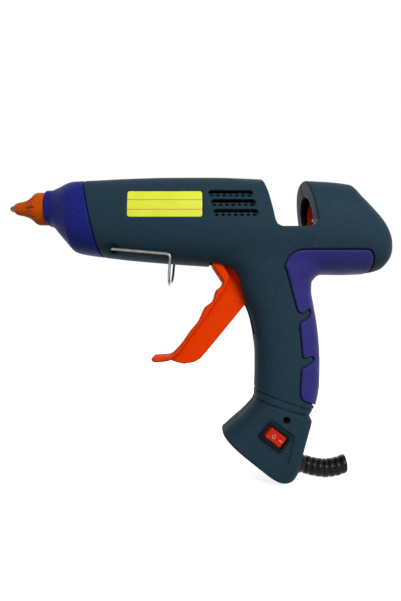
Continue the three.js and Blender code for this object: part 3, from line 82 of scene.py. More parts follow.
camera = new_object("camera", bpy.data.cameras.new("camera"))
camera.location = EYE
camera.rotation_euler = (math.radians(90), 0, 0)
camera.data.lens = FOCAL_PIXELS / PICTURE_PIXELS * camera.data.sensor_width
camera.data.clip_start = 10 * MM
bpy.context.scene.camera = camera
print("lens", round(camera.data.lens, 2), "mm")

# %% [markdown]
# ## Working with distances
# Moulded plastic has no knife edge: every corner carries a small radius, and every rib flows into
# its wall. A mesh cut with booleans has to be bevelled edge by edge. Here each form is a block of
# signed distances in millimetres instead, negative inside the plastic. Two forms then join with a
# fillet or cut with a rounded edge by one line of arithmetic, and a mesh is drawn through the
# zeros at the end. The last number of an overlap, a join or a cut is about how wide that rounding
# is, in millimetres.

# %% Distance tools


def lattice(low, high, step):
    """Sample places in mm along x, y and z, each shaped to spread over the whole block."""
    axes = [np.arange(a, b + step, step, dtype=np.float32) for a, b in zip(low, high)]
    return [a.reshape([-1 if i == k else 1 for i in range(3)]) for k, a in enumerate(axes)]


def overlap(a, b, soft=0.4):
    """What two forms share; the edge between them is rounded over about soft mm."""
    near = np.maximum(soft - np.abs(a - b), 0)
    return np.maximum(a, b) + near * near / (4 * soft)


def join(a, b, soft=0.4):
    """Two forms as one, with a fillet in the corner between them."""
    return -overlap(-a, -b, soft)


def cut(a, b, soft=0.4):
    """The first form without the second."""
    return overlap(a, -b, soft)


def true_distance(share, step):
    """Turns a form's own measure, zero on its surface, into distances by its slope."""
    slope = np.sqrt(sum(g * g for g in np.gradient(share, step)))
    return share / np.maximum(slope, 1e-3)


def smooth_through(x, xs, ys):
    """Monotone cubic through stations, so a profile never swells past them."""
    xs, ys = np.asarray(xs, float), np.asarray(ys, float)
    step = np.diff(xs)
    rise = np.diff(ys) / step
    before, after = rise[:-1], rise[1:]
    one, two = 2 * step[1:] + step[:-1], step[1:] + 2 * step[:-1]
    same = before * after > 0
    mean = np.divide(one, before, where=same, out=np.ones_like(one))
    mean += np.divide(two, after, where=same, out=np.ones_like(two))
    slope = np.concatenate([rise[:1], np.where(same, (one + two) / mean, 0), rise[-1:]])
    x = np.clip(x, xs[0], xs[-1])
    i = np.clip(np.searchsorted(xs, x) - 1, 0, len(step) - 1)
    t = (x - xs[i]) / step[i]
    value = ys[i] * (1 + 2 * t) * (1 - t) ** 2 + ys[i + 1] * t * t * (3 - 2 * t)
    return value + step[i] * t * (1 - t) * (slope[i] * (1 - t) - slope[i + 1] * t)


def smooth_outline(points, steps=5):
    """A closed curve through all the points; a long side stays straight up to its corners."""
    p = np.array(points, float)
    after = np.roll(p, -1, 0)
    gap = np.linalg.norm(after - p, axis=1)[:, None]
    chord = after - np.roll(p, 1, 0)
    tangent = chord / np.linalg.norm(chord, axis=1)[:, None] * np.minimum(gap, np.roll(gap, 1, 0))
    made = []
    for t in np.arange(steps) / steps:
        value = p * (1 + 2 * t) * (1 - t) ** 2 + after * t * t * (3 - 2 * t)
        value += t * (1 - t) * (tangent * (1 - t) - np.roll(tangent, -1, 0) * t)
        made.append(value)
    return np.stack(made, 1).reshape(-1, 2)


def curve(start, corner, end, t):
    """The place at share t of a curve from start to end that leans towards a corner."""
    return start * (1 - t) ** 2 + 2 * corner * t * (1 - t) + end * t * t


def lengths_along(points):
    """How far along a line of points each of them lies."""
    return np.concatenate([[0], np.cumsum(np.linalg.norm(np.diff(points, axis=0), axis=1))])


def outline_distance(points, a, b):
    """Signed distance to a closed outline that lies in the plane of two axes."""
    nearest, inside = np.float32(1e9), False
    for (pa, pb), (qa, qb) in zip(points, np.roll(points, -1, 0)):
        ea, eb = qa - pa, qb - pb
        share = np.clip(((a - pa) * ea + (b - pb) * eb) / (ea * ea + eb * eb), 0, 1)
        nearest = np.minimum(nearest, (a - pa - share * ea) ** 2 + (b - pb - share * eb) ** 2)
        crosses = (pb > b) != (qb > b)
        inside = inside ^ (crosses & (a < ea * (b - pb) / (eb or 1) + pa))
    return (np.sqrt(nearest) * np.where(inside, -1, 1)).astype(np.float32)


def slab(value, low, high):
    """Distance to the space between two parallel planes."""
    return np.maximum(low - value, value - high)


def rod(a, b, start, end, radius):
    """Distance to a round-ended bar in the plane of two axes."""
    ea, eb = end[0] - start[0], end[1] - start[1]
    share = np.clip(((a - start[0]) * ea + (b - start[1]) * eb) / (ea * ea + eb * eb), 0, 1)
    return np.hypot(a - start[0] - share * ea, b - start[1] - share * eb) - radius


def post(a, b, middle, radius):
    """Distance to an endless round bar that is seen along its length."""
    return np.hypot(a - middle[0], b - middle[1]) - radius


print("a bar of 2 mm radius, 3 mm off its middle:", float(post(3, 0, (0, 0), 2)), "mm")

# %% [markdown]
# ## From distances to a mesh
# OpenVDB walks the block and puts a vertex in each cell that the surface crosses. Where the
# surface is nearly flat such a mesh is far denser than it needs to be, so Decimate thins it to a
# share of its faces. The same small function puts a piece on its body and lets it stand for its
# CAD node.

# %% Mesh tools
BAND = 3


def place(piece, body, material, nodes=()):
    """Gives a piece its finish and its body, and lets it stand for its nodes."""
    piece.data.materials.append(material)
    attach(piece, body)
    if nodes:
        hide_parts(*nodes)


def new_piece(name, points, faces):
    """A mesh object with smooth shading, from points in mm."""
    mesh = bpy.data.meshes.new(name)
    mesh.from_pydata(np.asarray(points) * MM, [], faces)
    mesh.polygons.foreach_set("use_smooth", [True] * len(mesh.polygons))
    return new_object(name, mesh)


def mould(name, solid, low, step, keep, mirrored=False):
    """Draws the mesh of a block of distances and thins it to the share of faces to keep."""
    grid = openvdb.FloatGrid(BAND * step)
    grid.copyFromArray(np.clip(solid, -BAND * step, BAND * step).astype(np.float32))
    points, quads = grid.convertToQuads()
    points = points * step + np.array(low)
    if mirrored:
        points[:, 1] *= -1
    faces = quads if mirrored else quads[:, ::-1]
    piece = new_piece(name, points, faces)
    thin = piece.modifiers.new("thin", "DECIMATE")
    thin.ratio = keep
    seen = piece.evaluated_get(bpy.context.evaluated_depsgraph_get())
    mesh = bpy.data.meshes.new_from_object(seen)
    piece.modifiers.clear()
    piece.data = mesh
    print(name, len(quads), "quads,", len(mesh.polygons), "faces kept")
    return piece


print("distances are kept up to", BAND, "steps from a surface")

# %% [markdown]
# ## Finishes
# Every finish starts from what the real surface is. Moulded plastic is one colour right through,
# and what the eye reads is the mould's texture: a spark-eroded grain a few tenths of a millimetre
# wide that breaks up the shine. Colours are kept as sRGB hex and turned to linear in one place.

# %% Colour and node helpers
NOISE_LOW, NOISE_HIGH = 0.3, 0.7


def colour(code):
    """Linear RGBA of an sRGB hex colour."""
    channels = [int(code[i : i + 2], 16) / 255 for i in (1, 3, 5)]
    return [c / 12.92 if c < 0.04045 else ((c + 0.055) / 1.055) ** 2.4 for c in channels] + [1]


def add_node(tree, kind, sockets=(), **settings):
    """Adds a node with its settings; a socket takes a value or another node's output."""
    made = tree.nodes.new(kind)
    for name, value in settings.items():
        setattr(made, name, value)
    for name, value in dict(sockets).items():
        if isinstance(value, bpy.types.NodeSocket):
            tree.links.new(value, made.inputs[name])
        else:
            made.inputs[name].default_value = value
    return made


def empty_tree(owner):
    """The node tree of a material or a world, with nothing in it yet."""
    owner.use_nodes = True
    owner.node_tree.nodes.clear()
    return owner.node_tree


def bare_material(name):
    """A material with its empty node tree, and the piece's own coordinates in millimetres."""
    material = bpy.data.materials.new(name)
    tree = empty_tree(material)
    where = add_node(tree, "ShaderNodeTexCoord").outputs["Object"]
    scale = {0: where, 1: (1 / MM, 1 / MM, 1 / MM)}
    in_mm = add_node(tree, "ShaderNodeVectorMath", scale, operation="MULTIPLY").outputs[0]
    return material, tree, in_mm


def noise(tree, where, size_mm, detail=2.0):
    """Soft noise whose features are about size_mm wide."""
    sockets = {"Vector": where, "Scale": 1 / size_mm, "Detail": detail}
    return add_node(tree, "ShaderNodeTexNoise", sockets).outputs["Fac"]


def between(tree, share, low, high):
    """Spreads the range that most of the noise lies in between two values."""
    sockets = {"Value": share, "From Min": NOISE_LOW, "From Max": NOISE_HIGH}
    sockets |= {"To Min": low, "To Max": high}
    return add_node(tree, "ShaderNodeMapRange", sockets).outputs[0]


def mixed(tree, share, low, high):
    """A colour between two, each a hex code or another node's output."""
    mix = add_node(tree, "ShaderNodeMix", {"Factor": share}, data_type="RGBA")
    # A mix node has a set of sockets for each kind of value; 6, 7 and output 2 are the colours
    for index, value in ((6, low), (7, high)):
        if isinstance(value, str):
            mix.inputs[index].default_value = colour(value)
        else:
            tree.links.new(value, mix.inputs[index])
    return mix.outputs[2]


def surface(tree, base, roughness, height, depth_mm, **shader):
    """The Principled shader with a bump of depth_mm, joined to the output."""
    bump = {"Height": height, "Distance": depth_mm * MM, "Strength": 1.0}
    normal = add_node(tree, "ShaderNodeBump", bump).outputs[0]
    sockets = {"Base Color": base, "Roughness": roughness, "Normal": normal}
    sockets |= {name.replace("_", " "): value for name, value in shader.items()}
    made = add_node(tree, "ShaderNodeBsdfPrincipled", sockets)
    add_node(tree, "ShaderNodeOutputMaterial", {"Surface": made.outputs[0]})


PATCH_MM, PATCH_SPREAD = 9, 0.05


def moulded(name, low, high, roughness, grain_mm, depth_mm, **shader):
    """Moulded plastic: two near shades in the grain of the mould, which is a bump as well."""
    material, tree, where = bare_material(name)
    grain = noise(tree, where, grain_mm)
    base = mixed(tree, between(tree, grain, 0, 1), low, high)
    patches = noise(tree, where, PATCH_MM, 3)
    shine = between(tree, patches, roughness - PATCH_SPREAD, roughness + PATCH_SPREAD)
    surface(tree, base, shine, grain, depth_mm, **shader)
    return material


print("slate in linear light:", [round(c, 3) for c in colour("#273e4b")])

# %% [markdown]
# ## The plastics
# The casing is ABS from a spark-eroded mould, a dull slate grey. Its grain is about 0.3 mm wide;
# it is drawn at 0.7 mm, because a finer one would fall between the pixels. The collar is a
# glass-filled nylon that stands the heat, a little smoother. The grip skins are soft
# thermoplastic rubber with a faint sheen. The trigger is smooth ABS with next to no grain, the
# cap is silicone rubber, and the relief is soft PVC, the glossiest of them. Inside, the bulkheads
# are pressed mica and the heater is ceramic.

# %% Plastic finishes
slate_abs = moulded("slate_abs", "#1c303b", "#273e4b", 0.55, 0.7, 0.04, Specular_IOR_Level=0.05)
blue_nylon = moulded("blue_nylon", "#141a64", "#242c80", 0.46, 0.8, 0.03, Specular_IOR_Level=0.05)
blue_rubber = moulded(
    "blue_rubber", "#252163", "#35317c", 0.5, 0.6, 0.03, Sheen_Weight=0.04, Specular_IOR_Level=0.1
)
orange_abs = moulded("orange_abs", "#e83800", "#f04204", 0.6, 1.6, 0.002, Specular_IOR_Level=0.02)
orange_silicone = moulded(
    "orange_silicone", "#bc4800", "#d05a06", 0.5, 0.8, 0.01, Specular_IOR_Level=0.06
)
black_pvc = moulded("black_pvc", "#060604", "#12110c", 0.22, 0.7, 0.01, Specular_IOR_Level=0.14)
black_nylon = moulded("black_nylon", "#0b0c0c", "#121413", 0.4, 0.6, 0.015, Specular_IOR_Level=0.08)
lead_silicone = moulded("lead_silicone", "#8a2018", "#96281e", 0.5, 0.8, 0.01)
bulkhead_mica = moulded("bulkhead_mica", "#b8b2a0", "#c6c0b0", 0.6, 1.2, 0.03)
ceramic = moulded("heater_ceramic", "#d8d4c8", "#e2dfd6", 0.55, 0.5, 0.02)
plastics = [slate_abs, blue_nylon, blue_rubber, orange_abs, orange_silicone, black_pvc]
print("plastics on the outside:", ", ".join(material.name for material in plastics))

# %% [markdown]
# ## The metals
# Metal gets its look from what it reflects. Bent wire and screws are plated steel with faint
# drawing lines; the nozzle is turned from nickel-plated brass, so fine rings run round it; the
# chamber is cast aluminium with a coarse skin.

# %% Metal finishes
CLOUD_MM, MARKS_SPREAD = 4, 0.07


def metal(name, low, high, roughness, grain_mm, depth_mm, stretch=(1, 1, 1)):
    """A metal whose marks are grain_mm wide and stretched along the work."""
    material, tree, where = bare_material(name)
    stretched = add_node(
        tree, "ShaderNodeVectorMath", {0: where, 1: stretch}, operation="MULTIPLY"
    ).outputs[0]
    marks = noise(tree, stretched, grain_mm, 3)
    base = mixed(tree, between(tree, noise(tree, where, CLOUD_MM), 0, 1), low, high)
    shine = between(tree, marks, roughness - MARKS_SPREAD, roughness + MARKS_SPREAD)
    surface(tree, base, shine, marks, depth_mm, Metallic=1.0)
    return material


plated_wire = metal("zinc_plated_wire", "#74716a", "#8c8981", 0.22, 0.5, 0.01, (0.2, 1, 1))
plated_screw = metal("zinc_plated_screw", "#8c8c88", "#a2a29c", 0.32, 0.4, 0.01)
turned_nickel = metal("nickel_plated_brass", "#4a4a46", "#63625c", 0.3, 0.35, 0.015, (4, 0.3, 0.3))
cast_aluminium = metal("cast_aluminium", "#a8aaac", "#bcbec0", 0.5, 0.9, 0.04)
spring_steel = metal("spring_steel", "#86868a", "#9a9a9e", 0.3, 0.5, 0.01)
contact_brass = metal("contact_brass", "#b89a50", "#c8aa60", 0.35, 0.6, 0.01)
print("metals: wire, screw, nozzle, chamber, spring, contact")

# %% [markdown]
# ## The outside of the gun
# The barrel is a row of rounded sections from nose to tail. Each section is a superellipse, a
# little squarer than an ellipse, and its top, underside and half width are read from stations
# along the gun.

# %% Barrel
BARREL = np.array(
    [
        [-94.6, 179.2, 158.3, 10.5], [-94, 179.4, 157.8, 11.1], [-90.5, 179.5, 156.4, 12],
        [-87.5, 180.4, 153.2, 14.1], [-84, 181.7, 149.1, 16.9], [-80.2, 183.3, 144.8, 20],
        [-76.3, 184.2, 140.9, 22.6], [-70, 184.5, 139.4, 23.6], [-61.9, 184.9, 138.3, 23.9],
        [-43.7, 185.9, 136.1, 24], [-18.5, 186.7, 133.9, 24], [8.6, 186.8, 132, 24],
        [40, 185.7, 129.9, 24], [66, 184.8, 127.8, 24], [91, 182.6, 127.3, 23.8],
        [97.5, 176.3, 127.5, 23.4], [105, 168.2, 128, 22.2], [110.5, 162, 129.3, 19.8],
        [114, 156.8, 132.1, 16.3], [116.8, 151.4, 136.2, 11], [118.4, 147.3, 141.5, 4],
    ]
)  # fmt: skip
BARREL_POWER, BARREL_ENDS = 2.4, 0.8


def rounded_section(across, up, power, step):
    """Distance to a superellipse, from shares of its half width and half height."""
    share = (across**power + up**power) ** (1 / power) - 1
    return true_distance(share.astype(np.float32), step)


def barrel(x, y, z, step):
    """Distance to the outside of the barrel and the rear housing."""
    top, under, half = (smooth_through(x, BARREL[:, 0], BARREL[:, k]) for k in (1, 2, 3))
    up = np.abs(z - (top + under) / 2) / ((top - under) / 2)
    side = rounded_section(np.abs(y) / half, up, BARREL_POWER, step)
    return overlap(side, slab(x, BARREL[0, 0], BARREL[-1, 0]), BARREL_ENDS)


# %% [markdown]
# The handle leans and widens into a foot, so its sections are not parallel. Each place in the
# side view is first given the section that passes through it, by looking where it changes from
# below one section to above the next. A station gives the place in front, the place behind and
# the half width. The foot is squarer than the grip, most of all behind, and starts at
# FOOT_STATION.

# %% Handle and foot
HANDLE = np.array(
    [
        [12, 146, 76, 146, 21], [13.5, 135, 74.8, 131, 20.5], [17.4, 131.2, 71.9, 125.7, 20],
        [21.5, 125.7, 69.4, 121.7, 19.4], [24.8, 117.7, 69.2, 116.7, 18.6],
        [28.4, 109.2, 70.7, 107.7, 18], [31.8, 100.2, 72.5, 97.2, 17.6],
        [33.9, 89.7, 73.8, 85.7, 17.4], [35.2, 79.2, 74.5, 73.2, 17.4],
        [35.2, 66.2, 74.2, 60.2, 17.6], [35, 58.2, 73.1, 52.2, 17.8],
        [34.9, 54.7, 71.3, 45.7, 18], [34.8, 51.6, 68.4, 40.2, 18.3],
        [34.7, 50.4, 68.2, 38.5, 18.6], [30.1, 44, 66.1, 30.5, 19.2],
        [22.4, 37, 62.2, 16.5, 19.8], [18.9, 34, 59.4, 6.6, 20], [16.4, 31.6, 55.2, 2, 20],
        [14.7, 30, 52, 1.5, 19.9], [14.7, 28.9, 50, 1.8, 19.7], [15.8, 27.6, 47, 2.9, 19.2],
    ]
)  # fmt: skip
FOOT_STATION = 13
GRIP_POWER, FOOT_FRONT_POWER, FOOT_REAR_POWER = 2.6, 3.0, 5.5
HANDLE_LINES, HANDLE_ENDS = 260, 0.6
FILLET = 4.0


def handle(x, y, z, step):
    """Distance to the outside of the handle and its foot."""
    run = lengths_along((HANDLE[:, :2] + HANDLE[:, 2:4]) / 2)
    along = np.linspace(0, run[-1], HANDLE_LINES)
    fx, fz, bx, bz, half = (smooth_through(along, run, HANDLE[:, k]) for k in range(5))
    length = np.hypot(bx - fx, bz - fz)
    dx, dz = (bx - fx) / length, (bz - fz) / length
    px, pz = x[:, 0, :], z[:, 0, :]
    below = [(px - fx[k]) * dz[k] - (pz - fz[k]) * dx[k] for k in range(HANDLE_LINES)]
    across = [(px - fx[k]) * dx[k] + (pz - fz[k]) * dz[k] for k in range(HANDLE_LINES)]
    best = np.full(np.broadcast(px, pz).shape, np.inf)
    section = np.where(below[-1] > 0, HANDLE_LINES - 1, 0).astype(float)
    for k in range(HANDLE_LINES - 1):
        offset = np.abs(across[k] - length[k] / 2)
        here = (below[k] >= 0) & (below[k + 1] < 0) & (offset < best)
        best = np.where(here, offset, best)
        share = below[k] / np.maximum(below[k] - below[k + 1], 1e-6)
        section = np.where(here, k + share, section)
    lines = np.arange(HANDLE_LINES)
    stations = (fx, fz, dx, dz, length, half, along)
    fx, fz, dx, dz, length, half, along = (np.interp(section, lines, row) for row in stations)
    back = (px - fx) * dx + (pz - fz) * dz
    u = np.abs(back - length / 2) / (length / 2)
    turns = run[[0, FOOT_STATION - 1, FOOT_STATION, -1]]
    front, rear = (
        smooth_through(along, turns, [GRIP_POWER, GRIP_POWER, foot, foot])
        for foot in (FOOT_FRONT_POWER, FOOT_REAR_POWER)
    )
    power = np.where(back > length / 2, rear, front)
    u, half, power = (value[:, None, :] for value in (u, half, power))
    side = rounded_section(np.abs(y) / half, u, power, step)
    ends = np.maximum(-below[0], below[-1]).astype(np.float32)[:, None, :]
    return overlap(side, ends, HANDLE_ENDS)


def outside(x, y, z, step):
    """Distance to the whole outside, with the fillet where the handle meets the barrel."""
    return join(barrel(x, y, z, step), handle(x, y, z, step), FILLET)


print("barrel stations", len(BARREL), "handle stations", len(HANDLE))

# %% [markdown]
# ## Lines that several parts share
# The seam behind the collar, the outline of the grip skin and the notch of the loading gap are
# each needed in more than one place, so they are drawn once.

# %% Seam, skin outline and loading gap
SEAM = np.array([[-71.5, 190.5], [-63.4, 166], [-58.5, 130.8]])
SKIN = np.array(
    [
        [61, 140.3], [98.5, 140.3], [102.1, 136.6], [103, 131.5], [103.8, 127.5], [103.8, 118],
        [80, 110], [84, 60], [80, 44],
        [66.8, 49.6], [61.9, 51.7], [59.9, 55.9], [60.8, 69.4], [61.5, 70.5], [65.7, 72.8],
        [68.9, 75.4], [67.2, 77.6], [63.5, 76.7], [61.5, 77.9], [59.8, 95.9], [60.6, 97.9],
        [63.5, 99.3], [66.9, 102.8], [65.5, 105.7], [62.5, 103.8], [60.1, 103.5], [58.3, 105.2],
        [51.8, 127.5], [50.4, 131], [52.2, 135.6], [55.9, 138.9],
    ]
)  # fmt: skip
SKIN_OUTLINE = smooth_outline(SKIN)
GAP_FLOOR = 153.9
GAP_OUTLINE = np.array(
    [
        [31.2, 216.8], [44.2, 157.9], [45.5, 155.2], [48.2, GAP_FLOOR],
        [64.7, GAP_FLOOR], [67.4, 155.2], [68.7, 157.9], [58.8, 216.8],
    ]
)  # fmt: skip


def behind_seam(x, z):
    """Distance behind the seam between collar and casing."""
    t = np.linspace(0, 1, 40)[:, None]
    seam_x, seam_z = curve(*SEAM, t)[::-1].T
    return (x - np.interp(z, seam_z, seam_x)).astype(np.float32)


print("skin outline points", len(SKIN_OUTLINE))

# %% [markdown]
# ## The casing
# Two ABS halves close round the works. Their walls are 2.5 mm thick, with bosses for the screws
# and walls round the loading gap. What both halves share is worked out once, for the left one;
# the right one is its mirror image, apart from the switch, the label and the side the screws come
# from.

# %% Casing, shared form
CASING_STEP = 0.5
CASING_LOW, CASING_HIGH = (-73, -25.2, 0), (120.5, 1.2, 188.5)
WALL, BOSS_RADIUS = 2.5, 4.2
SCREWS = [(-32, 144.3), (2, 150), (46, 134), (90, 133.8), (58, 92), (56, 64)]
FOOT_SCREW = (51.5, 40.4)
PIVOT = (30.0, 131.0)
STAND_PIVOT = (-51.0, 141.3)
SCOOP, SCOOP_RADIUS, SCOOP_WALL = (-51.9, -17.6, 138.9), 6.3, 2
STICK_Z = 168.4

x, y, z = lattice(CASING_LOW, CASING_HIGH, CASING_STEP)
outer = outside(x, y, z, CASING_STEP)
gap = outline_distance(GAP_OUTLINE, x, z)
hollow = outer + WALL
for spot in [*SCREWS, FOOT_SCREW, PIVOT]:
    hollow = cut(hollow, post(x, z, spot, BOSS_RADIUS))
hollow = cut(hollow, gap - WALL)
scoop = np.sqrt((x - SCOOP[0]) ** 2 + (y - SCOOP[1]) ** 2 + (z - SCOOP[2]) ** 2) - SCOOP_RADIUS
hollow = cut(hollow, scoop - SCOOP_WALL)
casing = cut(cut(outer, gap, 1.0), hollow)
print("samples:", casing.size)

# %% [markdown]
# Now the ways through: the tunnel that the feed carriage comes out of, the bores for the glue
# stick and its guide, and the slot for the trigger. The slot is wide for the finger plate above,
# and narrows to the web below. Each bore is listed with its radius, its two ends and the rounding
# of its edge.

# %% Casing, bores and slots
TUNNEL_RADIUS, TUNNEL_Z, TUNNEL_X = 13.3, 162.1, (63.5, 73.7)
STICK_WAY, GUIDE_ROOM = 7.0, 9.0
BORES = [
    (STICK_WAY, 14.2, 56.45, 0.8),
    (GUIDE_ROOM, -27, 35.2, 0.3),
    (STICK_WAY, 71, math.inf, 0.8),
]
PLATE_SLOT = np.array([[6.6, 146], [34.7, 146], [34.7, 110], [6.6, 110]])
WEB_SLOT = np.array(
    [[20.5, 131], [37.1, 131], [40.7, 119.8], [40, 103], [38.1, 89.6], [20.5, 89.6]]
)
PLATE_SLOT_HALF, WEB_SLOT_HALF = 10.1, 5.1
NARROWS_FROM, NARROWS_OVER = 124.6, 14.6

tunnel = np.where(z > TUNNEL_Z, np.hypot(y, z - TUNNEL_Z), np.abs(y)) - TUNNEL_RADIUS
tunnel = np.maximum(np.maximum(tunnel, GAP_FLOOR - z), slab(x, *TUNNEL_X))
casing = cut(casing, tunnel, 0.8)
for radius, low, high, edge in BORES:
    bore = np.maximum(post(y, z, (0, STICK_Z), radius), slab(x, low, high))
    casing = cut(casing, bore, edge)

narrowing = np.clip((NARROWS_FROM - z) / NARROWS_OVER, 0, 1)
plate_slot_half = PLATE_SLOT_HALF - (PLATE_SLOT_HALF - WEB_SLOT_HALF) * narrowing
for outline, half in ((PLATE_SLOT, plate_slot_half), (WEB_SLOT, WEB_SLOT_HALF)):
    slot = np.maximum(outline_distance(outline, x, z), np.abs(y) - half)
    casing = cut(casing, slot, 0.8)
print("bores along the stick:", len(BORES))

# %% [markdown]
# A vent is a scoop whose floor falls away upwards, with two lines of seven small holes through
# it. The other marks of the surface are the bed for the skin, the round scoop with the pivot of
# the stand, two creases across the foot, the seam behind the collar and the way for the cord
# relief. The halves overlap by a hair, so that no light shines through where they meet.

# %% Casing, vents and other marks
VENT, VENT_PITCH, VENT_ROWS = (18.4, 172.9), (1.4, -5.8), 3
VENT_HALF, VENT_RADIUS, VENT_DEPTH, VENT_FALL = 10.9, 2.1, 0.6, 2.3
VENT_HOLES, HOLE_LINES, HOLE_HALF, HOLE_END_Y = 7, (-1.05, 1.05), (0.85, 0.6), -14
SKIN_BED_GAP, SKIN_BED_DEPTH = 0.65, 1.6
PIVOT_HOLE_RADIUS, PIVOT_HOLE_Y = 1.8, -8
CREASES = (((36.9, 55.7), (63.2, 46.6)), ((33.6, 51.6), (65, 41.9)))
CREASE_HALF, CREASE_DEPTH = 0.4, 1
RELIEF_WAY, RELIEF_WAY_RADIUS = ((48, 13), (74, 6.2)), 4.3
SEAM_GAP, HALVES_OVERLAP = 0.35, 0.02

for row in range(VENT_ROWS):
    row_x, row_z = (start + pitch * row for start, pitch in zip(VENT, VENT_PITCH))
    bed = np.hypot(np.maximum(np.abs(x - row_x) - VENT_HALF, 0), z - row_z) - VENT_RADIUS
    rise = np.clip((z - row_z + VENT_RADIUS) / (2 * VENT_RADIUS), 0, 1)
    bottom = outer + VENT_DEPTH + VENT_FALL * rise
    casing = cut(casing, np.maximum(bed, -bottom), 0.2)
    for column in range(VENT_HOLES):
        hole_x = row_x - VENT_HALF + column * 2 * VENT_HALF / (VENT_HOLES - 1)
        for line in HOLE_LINES:
            up = np.abs(z - row_z - line) - HOLE_HALF[1]
            hole = np.maximum(np.abs(x - hole_x) - HOLE_HALF[0], up)
            casing = cut(casing, np.maximum(hole, y - HOLE_END_Y), 0.3)

skin_bed = outline_distance(SKIN_OUTLINE, x, z) - SKIN_BED_GAP
casing = cut(casing, np.maximum(skin_bed, -(outer + SKIN_BED_DEPTH)), 0.5)
pivot_hole = np.maximum(post(x, z, STAND_PIVOT, PIVOT_HOLE_RADIUS), y - PIVOT_HOLE_Y)
casing = cut(cut(casing, scoop, 0.3), pivot_hole, 0.2)
for start, end in CREASES:
    run_x, run_z = end[0] - start[0], end[1] - start[1]
    across = ((x - start[0]) * run_z - (z - start[1]) * run_x) / math.dist(start, end)
    casing = cut(casing, np.maximum(np.abs(across) - CREASE_HALF, -(outer + CREASE_DEPTH)), 0.4)
casing = overlap(casing, SEAM_GAP - behind_seam(x, z), 0.6)
relief_way = np.hypot(rod(x, z, *RELIEF_WAY, 0), y) - RELIEF_WAY_RADIUS
casing = cut(casing, relief_way, 0.5)
casing = overlap(casing, y - HALVES_OVERLAP, 0.5)
print("holes in the vents of one half:", VENT_ROWS * VENT_HOLES * len(HOLE_LINES))

# %% [markdown]
# The left half carries the switch in a flat pad on the foot, the bed of the label and the hole of
# the foot screw. The right half has the six deep holes of the casing screws.

# %% Casing, left and right halves
SWITCH = (44.8, 31.06)
SWITCH_TURN = math.radians(38)
SWITCH_HOLE_HALF, SWITCH_HOLE_Y = (7.6, 4.95), -5.7
SWITCH_PAD_Y = -18.3
SWITCH_PAD = np.array(
    [
        [34, 31.6], [35.6, 27.9], [50.2, 14.8], [52.8, 15.9],
        [56, 31], [54.6, 32.2], [42, 41.7], [40.6, 41.4],
    ]
)  # fmt: skip
LABEL_MIDDLE, LABEL_HALF = (-19.6, 166.6), (21.7, 7.7)
LABEL_BED_GAP, LABEL_BED_DEPTH = 0.3, 0.6
FOOT_HOLE_RADIUS, SHELL_HOLE_RADIUS, SCREW_HOLE_Y = 2.1, 3.0, -7


def in_switch_frame(x, z):
    """Places along and across the switch."""
    along = (x - SWITCH[0]) * math.cos(SWITCH_TURN) - (z - SWITCH[1]) * math.sin(SWITCH_TURN)
    across = (x - SWITCH[0]) * math.sin(SWITCH_TURN) + (z - SWITCH[1]) * math.cos(SWITCH_TURN)
    return along, across


pad = np.maximum(outline_distance(SWITCH_PAD, x, z), y - SWITCH_PAD_Y)
u, v = in_switch_frame(x, z)
switch_hole = np.maximum(np.abs(u) - SWITCH_HOLE_HALF[0], np.abs(v) - SWITCH_HOLE_HALF[1])
switch_hole = np.maximum(switch_hole, y - SWITCH_HOLE_Y)
label_bed = -(outer + LABEL_BED_DEPTH)
for value, middle, half in zip((x, z), LABEL_MIDDLE, LABEL_HALF):
    reach = half + LABEL_BED_GAP
    label_bed = np.maximum(label_bed, slab(value, middle - reach, middle + reach))
foot_hole = np.maximum(post(x, z, FOOT_SCREW, FOOT_HOLE_RADIUS), y - SCREW_HOLE_Y)
left = cut(cut(cut(casing, pad, 0.4), switch_hole, 0.3), label_bed, 0.2)
left = cut(left, foot_hole, 0.5)
right = casing
for spot in SCREWS:
    hole = np.maximum(post(x, z, spot, SHELL_HOLE_RADIUS), y - SCREW_HOLE_Y)
    right = cut(right, hole, 0.5)

for side, half, mirrored in (("left", left, False), ("right", right, True)):
    piece = mould(f"{side}_shell", half, CASING_LOW, CASING_STEP, 0.45, mirrored)
    place(piece, "body", slate_abs, [f"{side}_casing"])

# %% [markdown]
# ## The grip skins
# Soft rubber panels lie in beds of the casing, one on each side, and meet behind the handle.
# Their edges are pillowed: they roll down into the bed, which is what draws the dark line round
# them.

# %% Grip skins
SKIN_STEP = 0.5
SKIN_LOW, SKIN_HIGH = (49, -24, 42), (106, 1, 142)
SKIN_PROUD, SKIN_DEPTH = 0.35, 1.25
x, y, z = lattice(SKIN_LOW, SKIN_HIGH, SKIN_STEP)
outer = outside(x, y, z, SKIN_STEP)
skin = overlap(outer - SKIN_PROUD, outline_distance(SKIN_OUTLINE, x, z), 1.5)
skin = overlap(cut(skin, outer + SKIN_DEPTH, 0.2), y - HALVES_OVERLAP, 0.4)
for name, mirrored in (("left_skin", False), ("right_skin", True)):
    piece = mould(name, skin, SKIN_LOW, SKIN_STEP, 0.5, mirrored)
    place(piece, "body", blue_rubber, [name.replace("skin", "grip_skin")])

# %% [markdown]
# ## The nose collar
# One moulding of nylon that takes the heat of the chamber. It carries on the line of the barrel
# and ends in a short neck round the cap. Behind the seam, a ring of it slides into the casing and
# keeps the two in line. That ring and its root are listed with their depths under the outside,
# and with how far they reach from the seam.

